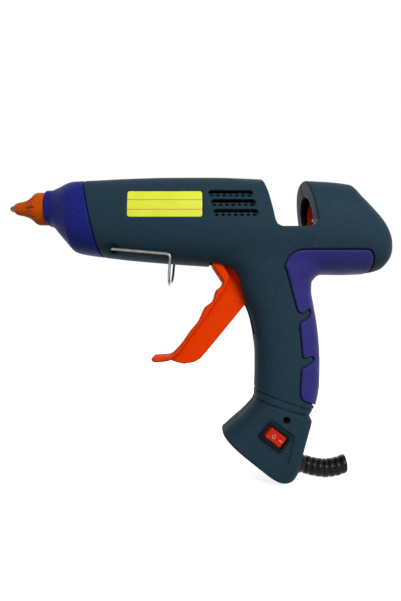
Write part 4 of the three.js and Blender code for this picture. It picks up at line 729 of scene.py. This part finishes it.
# %% Collar
COLLAR_STEP = 0.5
COLLAR_LOW, COLLAR_HIGH = (-98.5, -25, 136), (-55, 25, 187)
COLLAR_SEAM_GAP = 0.15
COLLAR_RINGS = (((-4.05, -2.8), (-4, 3.6)), ((-4.05, -2), (-4, -0.6)))
MOUTH_RADIUS, MOUTH_X = 8.0, -90
x, y, z = lattice(COLLAR_LOW, COLLAR_HIGH, COLLAR_STEP)
outer = barrel(x, y, z, COLLAR_STEP)
behind = behind_seam(x, z)
collar = overlap(cut(outer, outer + WALL, 0.5), behind + COLLAR_SEAM_GAP, 0.6)
for depths, reach in COLLAR_RINGS:
    collar = join(collar, np.maximum(slab(outer, *depths), slab(behind, *reach)), 0.3)
mouth = np.maximum(post(y, z, (0, STICK_Z), MOUTH_RADIUS), x - MOUTH_X)
collar = cut(collar, mouth, 0.6)
piece = mould("collar", collar, COLLAR_LOW, COLLAR_STEP, 0.5)
place(piece, "body", blue_nylon, ["nose_collar"])

# %% [markdown]
# ## Turned parts
# The nozzle and its cap are round, so they are lathed: one ring of points for each station of the
# profile. The cap's flutes are narrow grooves, so the radius dips at ten places round each ring
# where the cone swells.

# %% Lathe


def angles_round(count):
    """Evenly spaced angles round a circle."""
    return np.arange(count) / count * 2 * math.pi


def loft(name, rings, closed=False):
    """Joins rings of points to a skin; open ends get a cap, a closed loft joins its ends."""
    rings = np.asarray(rings)
    count, segments = rings.shape[:2]
    faces = []
    for k in range(count if closed else count - 1):
        a, b = k * segments, (k + 1) % count * segments
        for i in range(segments):
            j = (i + 1) % segments
            faces.append((a + i, a + j, b + j, b + i))
    if not closed:
        faces += [tuple(range(segments))[::-1]]
        faces += [tuple(range((count - 1) * segments, count * segments))]
    return new_piece(name, rings.reshape(-1, 3), faces)


def lathed(name, profile, segments=72, dip=None):
    """Turns a closed profile of x and radius about the axis of the barrel."""
    turn = angles_round(segments)
    rings = []
    for along, radius in profile:
        r = radius - (dip(along, turn) if dip else 0)
        ring = [along + 0 * turn, -r * np.sin(turn), STICK_Z + r * np.cos(turn)]
        rings.append(np.stack(ring, 1))
    return loft(name, rings, closed=True)


def softened(corners, radius, steps=3):
    """Rounds each corner of a profile."""
    corners = np.array(corners, float)
    made = []
    for before, here, after in zip(np.roll(corners, 1, 0), corners, np.roll(corners, -1, 0)):
        reach = min(radius, 0.4 * math.dist(before, here), 0.4 * math.dist(after, here))
        start = here + (before - here) / math.dist(before, here) * reach
        end = here + (after - here) / math.dist(after, here) * reach
        for t in np.linspace(0, 1, steps + 1):
            made.append(curve(start, here, end, t))
    return made


print("a softened square has", len(softened([(0, 0), (1, 0), (1, 1), (0, 1)], 0.3)), "points")

# %% Nozzle and cap
NOZZLE = [
    (-118.4, 0.8), (-118.4, 1.1), (-117.8, 1.6), (-114.5, 2.8), (-108.5, 3.2),
    (-97.9, 4), (-85, 4), (-85, 2), (-114.5, 2), (-116.45, 0.8),
]  # fmt: skip
piece = lathed("nozzle_body", softened(NOZZLE, 0.3))
place(piece, "body", turned_nickel, ["nozzle"])

CAP_FRONT, CAP_BACK, CAP_RADIUS = -114.9, -94.9, 10.1
CAP_RUN = np.array([0, 0.03, 0.115, 0.245, 0.37, 0.47, 0.55, 0.615, 0.685, 0.735, 1])
CAP_RADII = CAP_RADIUS * np.array([0.32, 0.35, 0.4, 0.45, 0.535, 0.645, 0.76, 0.88, 0.975, 1, 1])
CAP_RIM = [(CAP_BACK - 0.4, CAP_RADIUS - 0.05), (CAP_BACK, CAP_RADIUS - 0.4)]
CAP_BORE = [(CAP_BACK, 4.3), (-97.9, 4.3), (-108.5, 3.5), (CAP_FRONT, 3.1)]
FLUTES, FLUTE_DEPTH, FLUTE_SHARPNESS = 10, 1.3, 5
FLUTE_TURN = math.radians(25)


def flutes(along, turn):
    """Depth of the grooves at one place along the cap."""
    share = (along - CAP_FRONT) / (CAP_BACK - CAP_FRONT)
    depth = FLUTE_DEPTH * np.interp(share, [0.3, 0.5, 0.68, 0.77], [0, 0.8, 1, 0])
    return depth * np.maximum(0, np.cos((turn - FLUTE_TURN) * FLUTES)) ** FLUTE_SHARPNESS


run = np.linspace(0, 1, 40)
radii = smooth_through(run, CAP_RUN, CAP_RADII)
cone = [(CAP_FRONT + t * (CAP_BACK - CAP_FRONT), r) for t, r in zip(run, radii)]
piece = lathed("cap_sleeve", cone[:-1] + CAP_RIM + CAP_BORE, 240, flutes)
place(piece, "body", orange_silicone, ["nozzle_cap"])
print("cap stations", len(cone), "flutes", FLUTES)

# %% [markdown]
# ## The trigger
# A wide finger plate with a thin web behind it. The plate is drawn by its outline in the side
# view and is 19 mm wide, with well rounded edges where the fingers lie. Above its pivot an arm
# carries the cross pin that pushes the carriage.

# %% Trigger
TRIGGER_STEP = 0.45
TRIGGER_LOW, TRIGGER_HIGH = (-31, -10.4, 70), (38.5, 10.4, 150.5)
PLATE = np.array(
    [
        [10.5, 140.9], [8.8, 136.7], [8.2, 132.4], [14.7, 122.2], [13.4, 119.4], [10.7, 117.1],
        [9.3, 112.7], [8.1, 109.9], [3.7, 106.4], [1.1, 101.1], [-0.9, 97.1], [-5.6, 91.5],
        [-9.7, 85.5], [-13.9, 80.4], [-18.5, 76.9], [-28.2, 76.1], [-29.2, 74.6], [-27, 72.9],
        [-18.1, 74], [-12.1, 78.5], [-6, 86.9], [1.4, 96.6], [10.2, 108.7], [17.2, 120.4],
        [18.6, 125.4], [15.9, 131.6], [14.3, 139],
    ]
)  # fmt: skip
WEB = np.array(
    [
        [15.6, 133.6], [27.2, 136.6], [34.3, 131], [33, 112], [29.6, 109], [27.8, 107.4],
        [3.6, 77.8], [1.1, 74.9], [-2.9, 72.6], [-9.2, 71.5], [-14.1, 72.5], [-18.1, 74.2],
        [-10.3, 82.1], [-0.6, 95.2], [8.7, 107.5], [17.2, 120.4], [17.7, 124.5],
    ]
)  # fmt: skip
PLATE_HALF, WEB_HALF, ARM_HALF, PIN_HALF = 9.5, 4.5, 4, 8
CROSS_PIN, PIN_RADIUS = (33.6, 146.6), 1.75
ARM_RADIUS, HUB_RADIUS, PIVOT_BORE = 3, 6, 2.3

x, y, z = lattice(TRIGGER_LOW, TRIGGER_HIGH, TRIGGER_STEP)
across = np.abs(y)
plate = overlap(outline_distance(smooth_outline(PLATE, 4), x, z), across - PLATE_HALF, 2.2)
web = overlap(outline_distance(WEB, x, z), across - WEB_HALF, 0.8)
arm = overlap(rod(x, z, PIVOT, CROSS_PIN, ARM_RADIUS), across - ARM_HALF, 0.6)
hub = overlap(post(x, z, PIVOT, HUB_RADIUS), across - PLATE_HALF, 0.6)
cross_pin = overlap(post(x, z, CROSS_PIN, PIN_RADIUS), across - PIN_HALF, 0.4)
trigger = join(join(plate, web, 1.2), join(join(arm, hub, 1), cross_pin, 0.5), 1)
trigger = cut(trigger, post(x, z, PIVOT, PIVOT_BORE), 0.3)
piece = mould("trigger_lever", trigger, TRIGGER_LOW, TRIGGER_STEP, 0.6)
place(piece, "trigger", orange_abs, ["trigger"])

# %% [markdown]
# ## Wire and sleeves
# A bent wire is a circle swept along its centre line. The section is carried from point to point
# with as little turning as it can, so the wire doesn't twist in its bends.

# %% Sweep


def swept(name, points, radius, segments=16):
    """A round bar through points."""
    points = np.array(points, float)
    up = np.array([0.0, 0.0, 1.0])
    turn = angles_round(segments)
    rings = []
    for k, point in enumerate(points):
        tangent = points[min(k + 1, len(points) - 1)] - points[max(k - 1, 0)]
        tangent /= np.linalg.norm(tangent)
        if abs(up @ tangent) > 0.99:
            up = np.array([1.0, 0.0, 0.0])
        across = np.cross(tangent, up)
        across /= np.linalg.norm(across)
        up = np.cross(across, tangent)
        ring = np.outer(np.cos(turn), up) + np.outer(np.sin(turn), -across)
        rings.append(point + ring * radius)
    return loft(name, rings)


def bent(corners, bends, steps=8):
    """Straight runs between corners, with a rounded bend at each."""
    corners = [np.array(c, float) for c in corners]
    line = [corners[0]]
    for before, here, after, bend in zip(corners, corners[1:], corners[2:], bends):
        enter = here + (before - here) / np.linalg.norm(before - here) * bend
        leave = here + (after - here) / np.linalg.norm(after - here) * bend
        for t in np.linspace(0, 1, steps):
            line.append(curve(enter, here, leave, t))
    return line + [corners[-1]]


print("a line with one bend has", len(bent([(0, 0, 0), (9, 0, 0), (9, 9, 0)], [3])), "points")

# %% Wire stand
WIRE_RADIUS, LEG_Y, HOOK_Y = 0.85, 18.7, 13.3
KNEE_X, KNEE_DROP, TOE_X, TOE_DROP = -16.5, 3, -18, 20.6
leg_x, leg_z = STAND_PIVOT
far_half = [
    (leg_x, HOOK_Y, leg_z),
    (leg_x, LEG_Y, leg_z),
    (KNEE_X, LEG_Y, leg_z - KNEE_DROP),
    (TOE_X, LEG_Y, leg_z - TOE_DROP),
]
near_half = [(x, -y, z) for x, y, z in far_half]
stand_line = bent(near_half + far_half[::-1], [1.5, 3, 14, 14, 3, 1.5])
piece = swept("stand_wire", stand_line, WIRE_RADIUS)
place(piece, "stand", plated_wire, ["wire_stand"])
print("stand wire length", round(sum(map(math.dist, stand_line, stand_line[1:])), 1), "mm")

# %% [markdown]
# ## The cord relief
# A ribbed PVC sleeve leaves the foot and curves up at its end. Its ribs are rings with narrow
# necks between them, which is what lets it bend. The rings stand nearly upright towards its end.

# %% Cord relief
RELIEF = np.array(
    [[51, 12], [57, 10.4], [65.6, 8.2], [73.1, 6.3], [79.2, 5.6], [85.2, 6.3], [92, 8.6]]
)
RELIEF_RUN = lengths_along(RELIEF)
ROOT = [(0, 5), (0.04, 5), (0.05, 3.9), (0.13, 3.9), (0.14, 7.1), (0.25, 7.1), (0.335, 5.7)]
RIB = [(0, 4.95), (0.1, 4.95), (0.16, 5.4), (0.26, 5.6), (0.86, 5.6), (0.95, 5.3)]
RIBS, RIBS_FROM = 7, 0.36
RELIEF_END, RELIEF_BORE = 4.6, 3.3
UPRIGHT, UPRIGHT_FROM, UPRIGHT_OVER = 0.8, 0.7, 0.3
LOOK_AHEAD, RELIEF_SEGMENTS = 0.01, 40


def relief_at(share):
    """A place on the centre line of the sleeve."""
    at = min(max(share, 0), 1) * RELIEF_RUN[-1]
    along, up = (smooth_through(at, RELIEF_RUN, RELIEF[:, k]) for k in (0, 1))
    return np.array([along, 0, up])


pitch = (1 - RIBS_FROM) / RIBS
outside_line = list(ROOT)
for rib in range(RIBS):
    start = RIBS_FROM + rib * pitch
    outside_line += [(start + share * pitch, radius) for share, radius in RIB]
outside_line += [(1, RELIEF_END), (1, RELIEF_BORE)]
bore_line = [(share, RELIEF_BORE) for share in np.linspace(0.98, 0, 12)]
turn = angles_round(RELIEF_SEGMENTS)
rings = []
for share, radius in outside_line + bore_line:
    ahead = relief_at(share + LOOK_AHEAD) - relief_at(share - LOOK_AHEAD)
    ahead /= np.linalg.norm(ahead)
    ahead[2] *= 1 - UPRIGHT * min(1, max(0, (share - UPRIGHT_FROM) / UPRIGHT_OVER))
    ahead /= np.linalg.norm(ahead)
    up = np.cross([0, 1, 0], ahead)
    ring = np.outer(np.cos(turn), -up) + np.outer(np.sin(turn), [0, 1, 0])
    rings.append(relief_at(share) + radius * ring)
piece = loft("relief_sleeve", rings, closed=True)
place(piece, "body", black_pvc, ["cord_relief"])
print("relief stations", len(rings))

# %% [markdown]
# ## The switch
# A rocker switch is a black nylon body with a flat flange, and a glossy red rocker of
# polycarbonate between its cheeks. Here the body is open right through, because the rocker covers
# its floor. The rocker's face dips in the middle, and its ends stand proud of the flange. The
# marks for on and off are printed, here as thin raised shapes.

# %% Switch finishes
rocker_red, tree, where = bare_material("rocker_polycarbonate")
base = mixed(tree, between(tree, noise(tree, where, 5), 0, 1), "#c41a06", "#d4260c")
shine = between(tree, noise(tree, where, 2), 0.16, 0.26)
surface(tree, base, shine, noise(tree, where, 3), 0.01, Specular_IOR_Level=0.12)
mark_ink = moulded("mark_ink", "#d8ccc0", "#e0d6cc", 0.5, 0.5, 0.005)
print("finishes of the switch:", rocker_red.name, mark_ink.name)

# %% Switch
SWITCH_STEP = 0.22
SWITCH_LOW, SWITCH_HIGH = (-8.9, -21, -6.2), (8.9, -4.8, 6.2)
KEY_LOW, KEY_HIGH = (-6.8, -22.4, -4), (6.8, -10.4, 4)
FLANGE_HALF, FLANGE_Y = (8.1, 5.45), (-20.3, -18.9)
CASE_HALF, CASE_Y = (7.3, 4.65), (-19.2, -5.6)
WELL_HALF = (6.6, 3.7)
KEY_HALF, KEY_TOP, KEY_RISE, KEY_AXIS_Y = (6.15, 3.4), -19.7, 1.6, -17.3


def turned_onto_foot(piece):
    """Turns a piece from the switch's own frame into its place on the foot."""
    angle = SWITCH_TURN
    for vertex in piece.data.vertices:
        u, v = vertex.co.x / MM, vertex.co.z / MM
        vertex.co.x = (SWITCH[0] + u * math.cos(angle) + v * math.sin(angle)) * MM
        vertex.co.z = (SWITCH[1] - u * math.sin(angle) + v * math.cos(angle)) * MM
    piece.data.update()
    return piece


def plan(half, corner):
    """Distance to the rounded outline of a block, in the switch's own frame."""
    return overlap(np.abs(u) - half[0], np.abs(v) - half[1], corner)


def on_rocker(u):
    """Height of the rocker's face."""
    return KEY_TOP - KEY_RISE * abs(u) / KEY_HALF[0]


u, y, v = lattice(SWITCH_LOW, SWITCH_HIGH, SWITCH_STEP)
flange = overlap(plan(FLANGE_HALF, 0.8), slab(y, *FLANGE_Y), 0.5)
case = overlap(plan(CASE_HALF, 0.4), slab(y, *CASE_Y), 0.4)
switch = cut(join(flange, case, 0.2), plan(WELL_HALF, 0.4), 0.4)
piece = turned_onto_foot(mould("switch_case", switch, SWITCH_LOW, SWITCH_STEP, 0.5))
place(piece, "body", black_nylon, ["switch_body"])

u, y, v = lattice(KEY_LOW, KEY_HIGH, SWITCH_STEP)
below = post(u, y, (0, KEY_AXIS_Y), KEY_HALF[0])
rocker = overlap(overlap(on_rocker(u) - y, below, 0.5), np.abs(v) - KEY_HALF[1], 0.5)
rocker = overlap(rocker, np.abs(u) - KEY_HALF[0], 0.4)
piece = turned_onto_foot(mould("rocker_key", rocker, KEY_LOW, SWITCH_STEP, 0.5))
place(piece, "rocker", rocker_red, ["switch_rocker"])

# %% Marks on the rocker
MARK_PROUD = 0.02
RING_MIDDLE, RING_RADIUS, RING_LINE, RING_TALL = (-1.0, -0.3), 1.0, 0.1, 1.15
BAR_FROM, BAR_TO, BAR_POINTS, BAR_LINE = 2.3, 4.3, 6, 0.16
rings = []
for turn in angles_round(24):
    ring = []
    for around in angles_round(8):
        reach = RING_RADIUS + RING_LINE * math.cos(around)
        spot = RING_MIDDLE[0] + reach * math.cos(turn)
        height = on_rocker(spot) - MARK_PROUD + RING_LINE * math.sin(around)
        ring.append((spot, height, reach * RING_TALL * math.sin(turn) + RING_MIDDLE[1]))
    rings.append(ring)
piece = turned_onto_foot(loft("mark_off", rings, closed=True))
place(piece, "rocker", mark_ink)
spots = np.linspace(BAR_FROM, BAR_TO, BAR_POINTS)
bar = [(spot, on_rocker(spot) - MARK_PROUD, 0) for spot in spots]
piece = turned_onto_foot(swept("mark_on", bar, BAR_LINE, 8))
place(piece, "rocker", mark_ink)
print("marks on the rocker: ring and bar")

# %% [markdown]
# ## The label
# A thin printed plate that lies in its bed and follows the barrel. It is left bare: yellow with
# two plain rules across it.

# %% Label
RULE_X, RULE_HEIGHTS, RULE_HALF = (-41, 1.8), (168.9, 163.2), 0.22
label_film, tree, where = bare_material("printed_film")
apart = add_node(tree, "ShaderNodeSeparateXYZ", {0: where}).outputs


def rule(centre):
    """One where the height is within half a rule of centre, and x lies on the rule."""
    off = add_node(tree, "ShaderNodeMath", {0: apart[2], 1: centre}, operation="SUBTRACT")
    size = add_node(tree, "ShaderNodeMath", {0: off.outputs[0]}, operation="ABSOLUTE")
    thin = {0: size.outputs[0], 1: RULE_HALF}
    inside = add_node(tree, "ShaderNodeMath", thin, operation="LESS_THAN").outputs[0]
    for limit, test in zip(RULE_X, ("GREATER_THAN", "LESS_THAN")):
        reach = add_node(tree, "ShaderNodeMath", {0: apart[0], 1: limit}, operation=test).outputs[0]
        both = {0: inside, 1: reach}
        inside = add_node(tree, "ShaderNodeMath", both, operation="MULTIPLY").outputs[0]
    return inside


film = mixed(tree, between(tree, noise(tree, where, 10), 0, 1), "#d8e012", "#e4ea20")
for centre in RULE_HEIGHTS:
    film = mixed(tree, rule(centre), film, "#c8742a")
surface(tree, film, 0.35, noise(tree, where, 1.5), 0.005, Coat_Weight=0.4, Coat_Roughness=0.15)

LABEL_STEP, LABEL_CORNER, LABEL_DEPTHS = 0.3, 1.5, (-0.62, -0.12)
LABEL_LOW, LABEL_HIGH = (-42.6, -25, 157.5), (3.6, -20, 175.6)
x, y, z = lattice(LABEL_LOW, LABEL_HIGH, LABEL_STEP)
outer = barrel(x, y, z, LABEL_STEP)
past = [
    np.maximum(np.abs(value - middle) - (half - LABEL_CORNER), 0)
    for value, middle, half in zip((x, z), LABEL_MIDDLE, LABEL_HALF)
]
label = overlap(slab(outer, *LABEL_DEPTHS), np.hypot(*past) - LABEL_CORNER, 0.25)
piece = mould("label_film", label, LABEL_LOW, LABEL_STEP, 0.4)
place(piece, "body", label_film, ["label_plate"])

# %% [markdown]
# ## Screws
# Pan-head screws with a cross recess, one in the near side of the foot and six in the far half.
# One form serves them all.

# %% Screws
SCREW_STEP = 0.2
SCREW_LOW, SCREW_HIGH = (-3.2, -9.8, -3.2), (3.2, 7.2, 3.2)
HEAD_RADIUS, HEAD_Y = 1.8, (-9.3, -7.3)
DOME_RADIUS, DOME_Y = 5.1, -4.2
RECESS_HALF, RECESS_Y = (0.4, 1.5), -8.2
SHANK_RADIUS, SHANK_Y = 1.4, (-7.6, 6.7)
THREAD_DEPTH, THREAD_PITCH = 0.2, 1.1


def shift(mesh, along, up, across=1):
    """Moves a mesh in the side view by distances in mm, and mirrors it if across is -1."""
    for vertex in mesh.vertices:
        vertex.co.x += along * MM
        vertex.co.y *= across
        vertex.co.z += up * MM


x, y, z = lattice(SCREW_LOW, SCREW_HIGH, SCREW_STEP)
radius = np.hypot(x, z)
head = overlap(radius - HEAD_RADIUS, slab(y, *HEAD_Y), 0.3)
head = overlap(head, np.sqrt(x * x + z * z + (y - DOME_Y) ** 2) - DOME_RADIUS, 0.4)
arms = [
    np.maximum(np.abs(a) - RECESS_HALF[0], np.abs(b) - RECESS_HALF[1]) for a, b in ((x, z), (z, x))
]
head = cut(head, np.maximum(np.minimum(*arms), y - RECESS_Y), 0.2)
thread = THREAD_DEPTH * np.abs(((y / THREAD_PITCH) % 1) * 2 - 1)
shank = overlap(radius - SHANK_RADIUS + thread, slab(y, *SHANK_Y), 0.3)
screw = mould("foot_screw_head", join(head, shank, 0.3), SCREW_LOW, SCREW_STEP, 0.5)
shift(screw.data, *FOOT_SCREW)
place(screw, "body", plated_screw, ["foot_screw"])
for index, (place_x, place_z) in enumerate(SCREWS):
    piece = new_object(f"shell_screw_{index + 1}", screw.data.copy())
    shift(piece.data, place_x - FOOT_SCREW[0], place_z - FOOT_SCREW[1], -1)
    piece.data.flip_normals()
    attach(piece, "body")
    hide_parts(f"casing_screw_{index + 1}")
print("screws", 1 + len(SCREWS))

# %% [markdown]
# ## The works inside
# The parts inside keep their CAD shapes: they are plain turned and folded pieces, and only the
# carriage and the guide are seen, through the loading gap. Each gets the finish of its own
# material.

# %% Inner parts
INNER = [
    (cast_aluminium, ["heating_chamber"]),
    (contact_brass, ["lower_electrode", "upper_electrode", "terminal_upper", "terminal_lower"]),
    (ceramic, ["heater_element"]),
    (bulkhead_mica, ["front_bulkhead", "rear_bulkhead"]),
    (orange_silicone, ["inlet_sleeve"]),
    (spring_steel, ["sleeve_clip", "trigger_pin", "grip_jaw", "jaw_pin", "return_spring"]),
    (black_nylon, ["stick_guide", "cord_clamp"]),
    (orange_abs, ["feed_carriage"]),
    (plated_screw, ["clamp_screw_upper", "clamp_screw_lower"]),
    (lead_silicone, ["live_lead", "feed_lead", "switched_lead"]),
]
finished = {name: finish for finish, names in INNER for name in names}
for name, finish in finished.items():
    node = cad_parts[name]
    node.data.materials.clear()
    node.data.materials.append(finish)
shown = {name for name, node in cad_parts.items() if not node.hide_render}
print("inner parts:", len(finished), "shown without a finish:", sorted(shown - set(finished)))

# %% [markdown]
# ## Floor and light
# The gun stands on a plain pale floor in front of a white background. The background's white is
# only for the camera and for reflections; the light that falls on the gun is a soft sky and three
# large lamps, at a level where a colour renders about as it is written. Each lamp is listed with
# its place and its size in metres, and its power in watts.

# %% Floor
FLOOR_HALF, FLOOR_DROP = 3.0, 0.0004
floor_mesh = bpy.data.meshes.new("floor")
corners = [(a * FLOOR_HALF, b * FLOOR_HALF, 0) for a, b in ((-1, -1), (1, -1), (1, 1), (-1, 1))]
floor_mesh.from_pydata(corners, [], [(0, 1, 2, 3)])
floor = new_object("floor", floor_mesh)
floor.location.z = -FLOOR_DROP
material = bpy.data.materials.new("pale_floor")
tree = empty_tree(material)


def seen_directly(tree):
    """One for rays of the camera, of reflections and through glass."""
    rays = add_node(tree, "ShaderNodeLightPath").outputs
    seen = rays["Is Camera Ray"]
    for name in ("Is Glossy Ray", "Is Transmission Ray"):
        sockets = {0: seen, 1: rays[name]}
        seen = add_node(tree, "ShaderNodeMath", sockets, operation="MAXIMUM").outputs[0]
    return seen


dull = add_node(tree, "ShaderNodeBsdfDiffuse", {"Color": colour("#8c8c8c")}).outputs[0]
pale = add_node(tree, "ShaderNodeBsdfDiffuse", {"Color": colour("#e8e8e8")}).outputs[0]
lift = {"Color": colour("#ffffff"), "Strength": 0.78}
lit = add_node(tree, "ShaderNodeEmission", lift).outputs[0]
raised = add_node(tree, "ShaderNodeAddShader", {0: pale, 1: lit}).outputs[0]
choice = {0: seen_directly(tree), 1: dull, 2: raised}
mix = add_node(tree, "ShaderNodeMixShader", choice).outputs[0]
add_node(tree, "ShaderNodeOutputMaterial", {"Surface": mix})
floor_mesh.materials.append(material)
floor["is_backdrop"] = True
print("floor", 2 * FLOOR_HALF, "m wide")

# %% Sky and lamps
world = bpy.data.worlds.new("studio")
bpy.context.scene.world = world
tree = empty_tree(world)
seen = seen_directly(tree)
soft = add_node(tree, "ShaderNodeBackground", {"Color": colour("#f6f9ff"), "Strength": 0.34})
white = add_node(tree, "ShaderNodeBackground", {"Color": colour("#ffffff"), "Strength": 1.0})
mix = add_node(tree, "ShaderNodeMixShader", {0: seen, 1: soft.outputs[0], 2: white.outputs[0]})
add_node(tree, "ShaderNodeOutputWorld", {"Surface": mix.outputs[0]})

LAMP_AIM = Vector((0.02, 0, 0.12))
LAMPS = {
    "key": ((0.30, -0.58, 0.44), 0.34, 4.0),
    "fill": ((-0.50, -0.60, 0.30), 0.50, 0.5),
    "back": ((0.10, 0.60, 0.34), 0.50, 1.8),
}
for name, (spot, size, power) in LAMPS.items():
    lamp = bpy.data.lights.new(name, "AREA")
    lamp.size = size
    lamp.energy = power
    holder = new_object(name, lamp)
    holder.location = spot
    holder.rotation_euler = (LAMP_AIM - holder.location).to_track_quat("-Z", "Y").to_euler()
bpy.context.scene.view_settings.view_transform = "Standard"
print("lamps:", ", ".join(LAMPS))

# %% Print how far each corner of the box moved, and finish
scene_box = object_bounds()
for end, before, after in zip(("low", "high"), cad_box, scene_box):
    print(end, "corner moved by", [round((b - a) / MM, 2) for a, b in zip(before, after)], "mm")
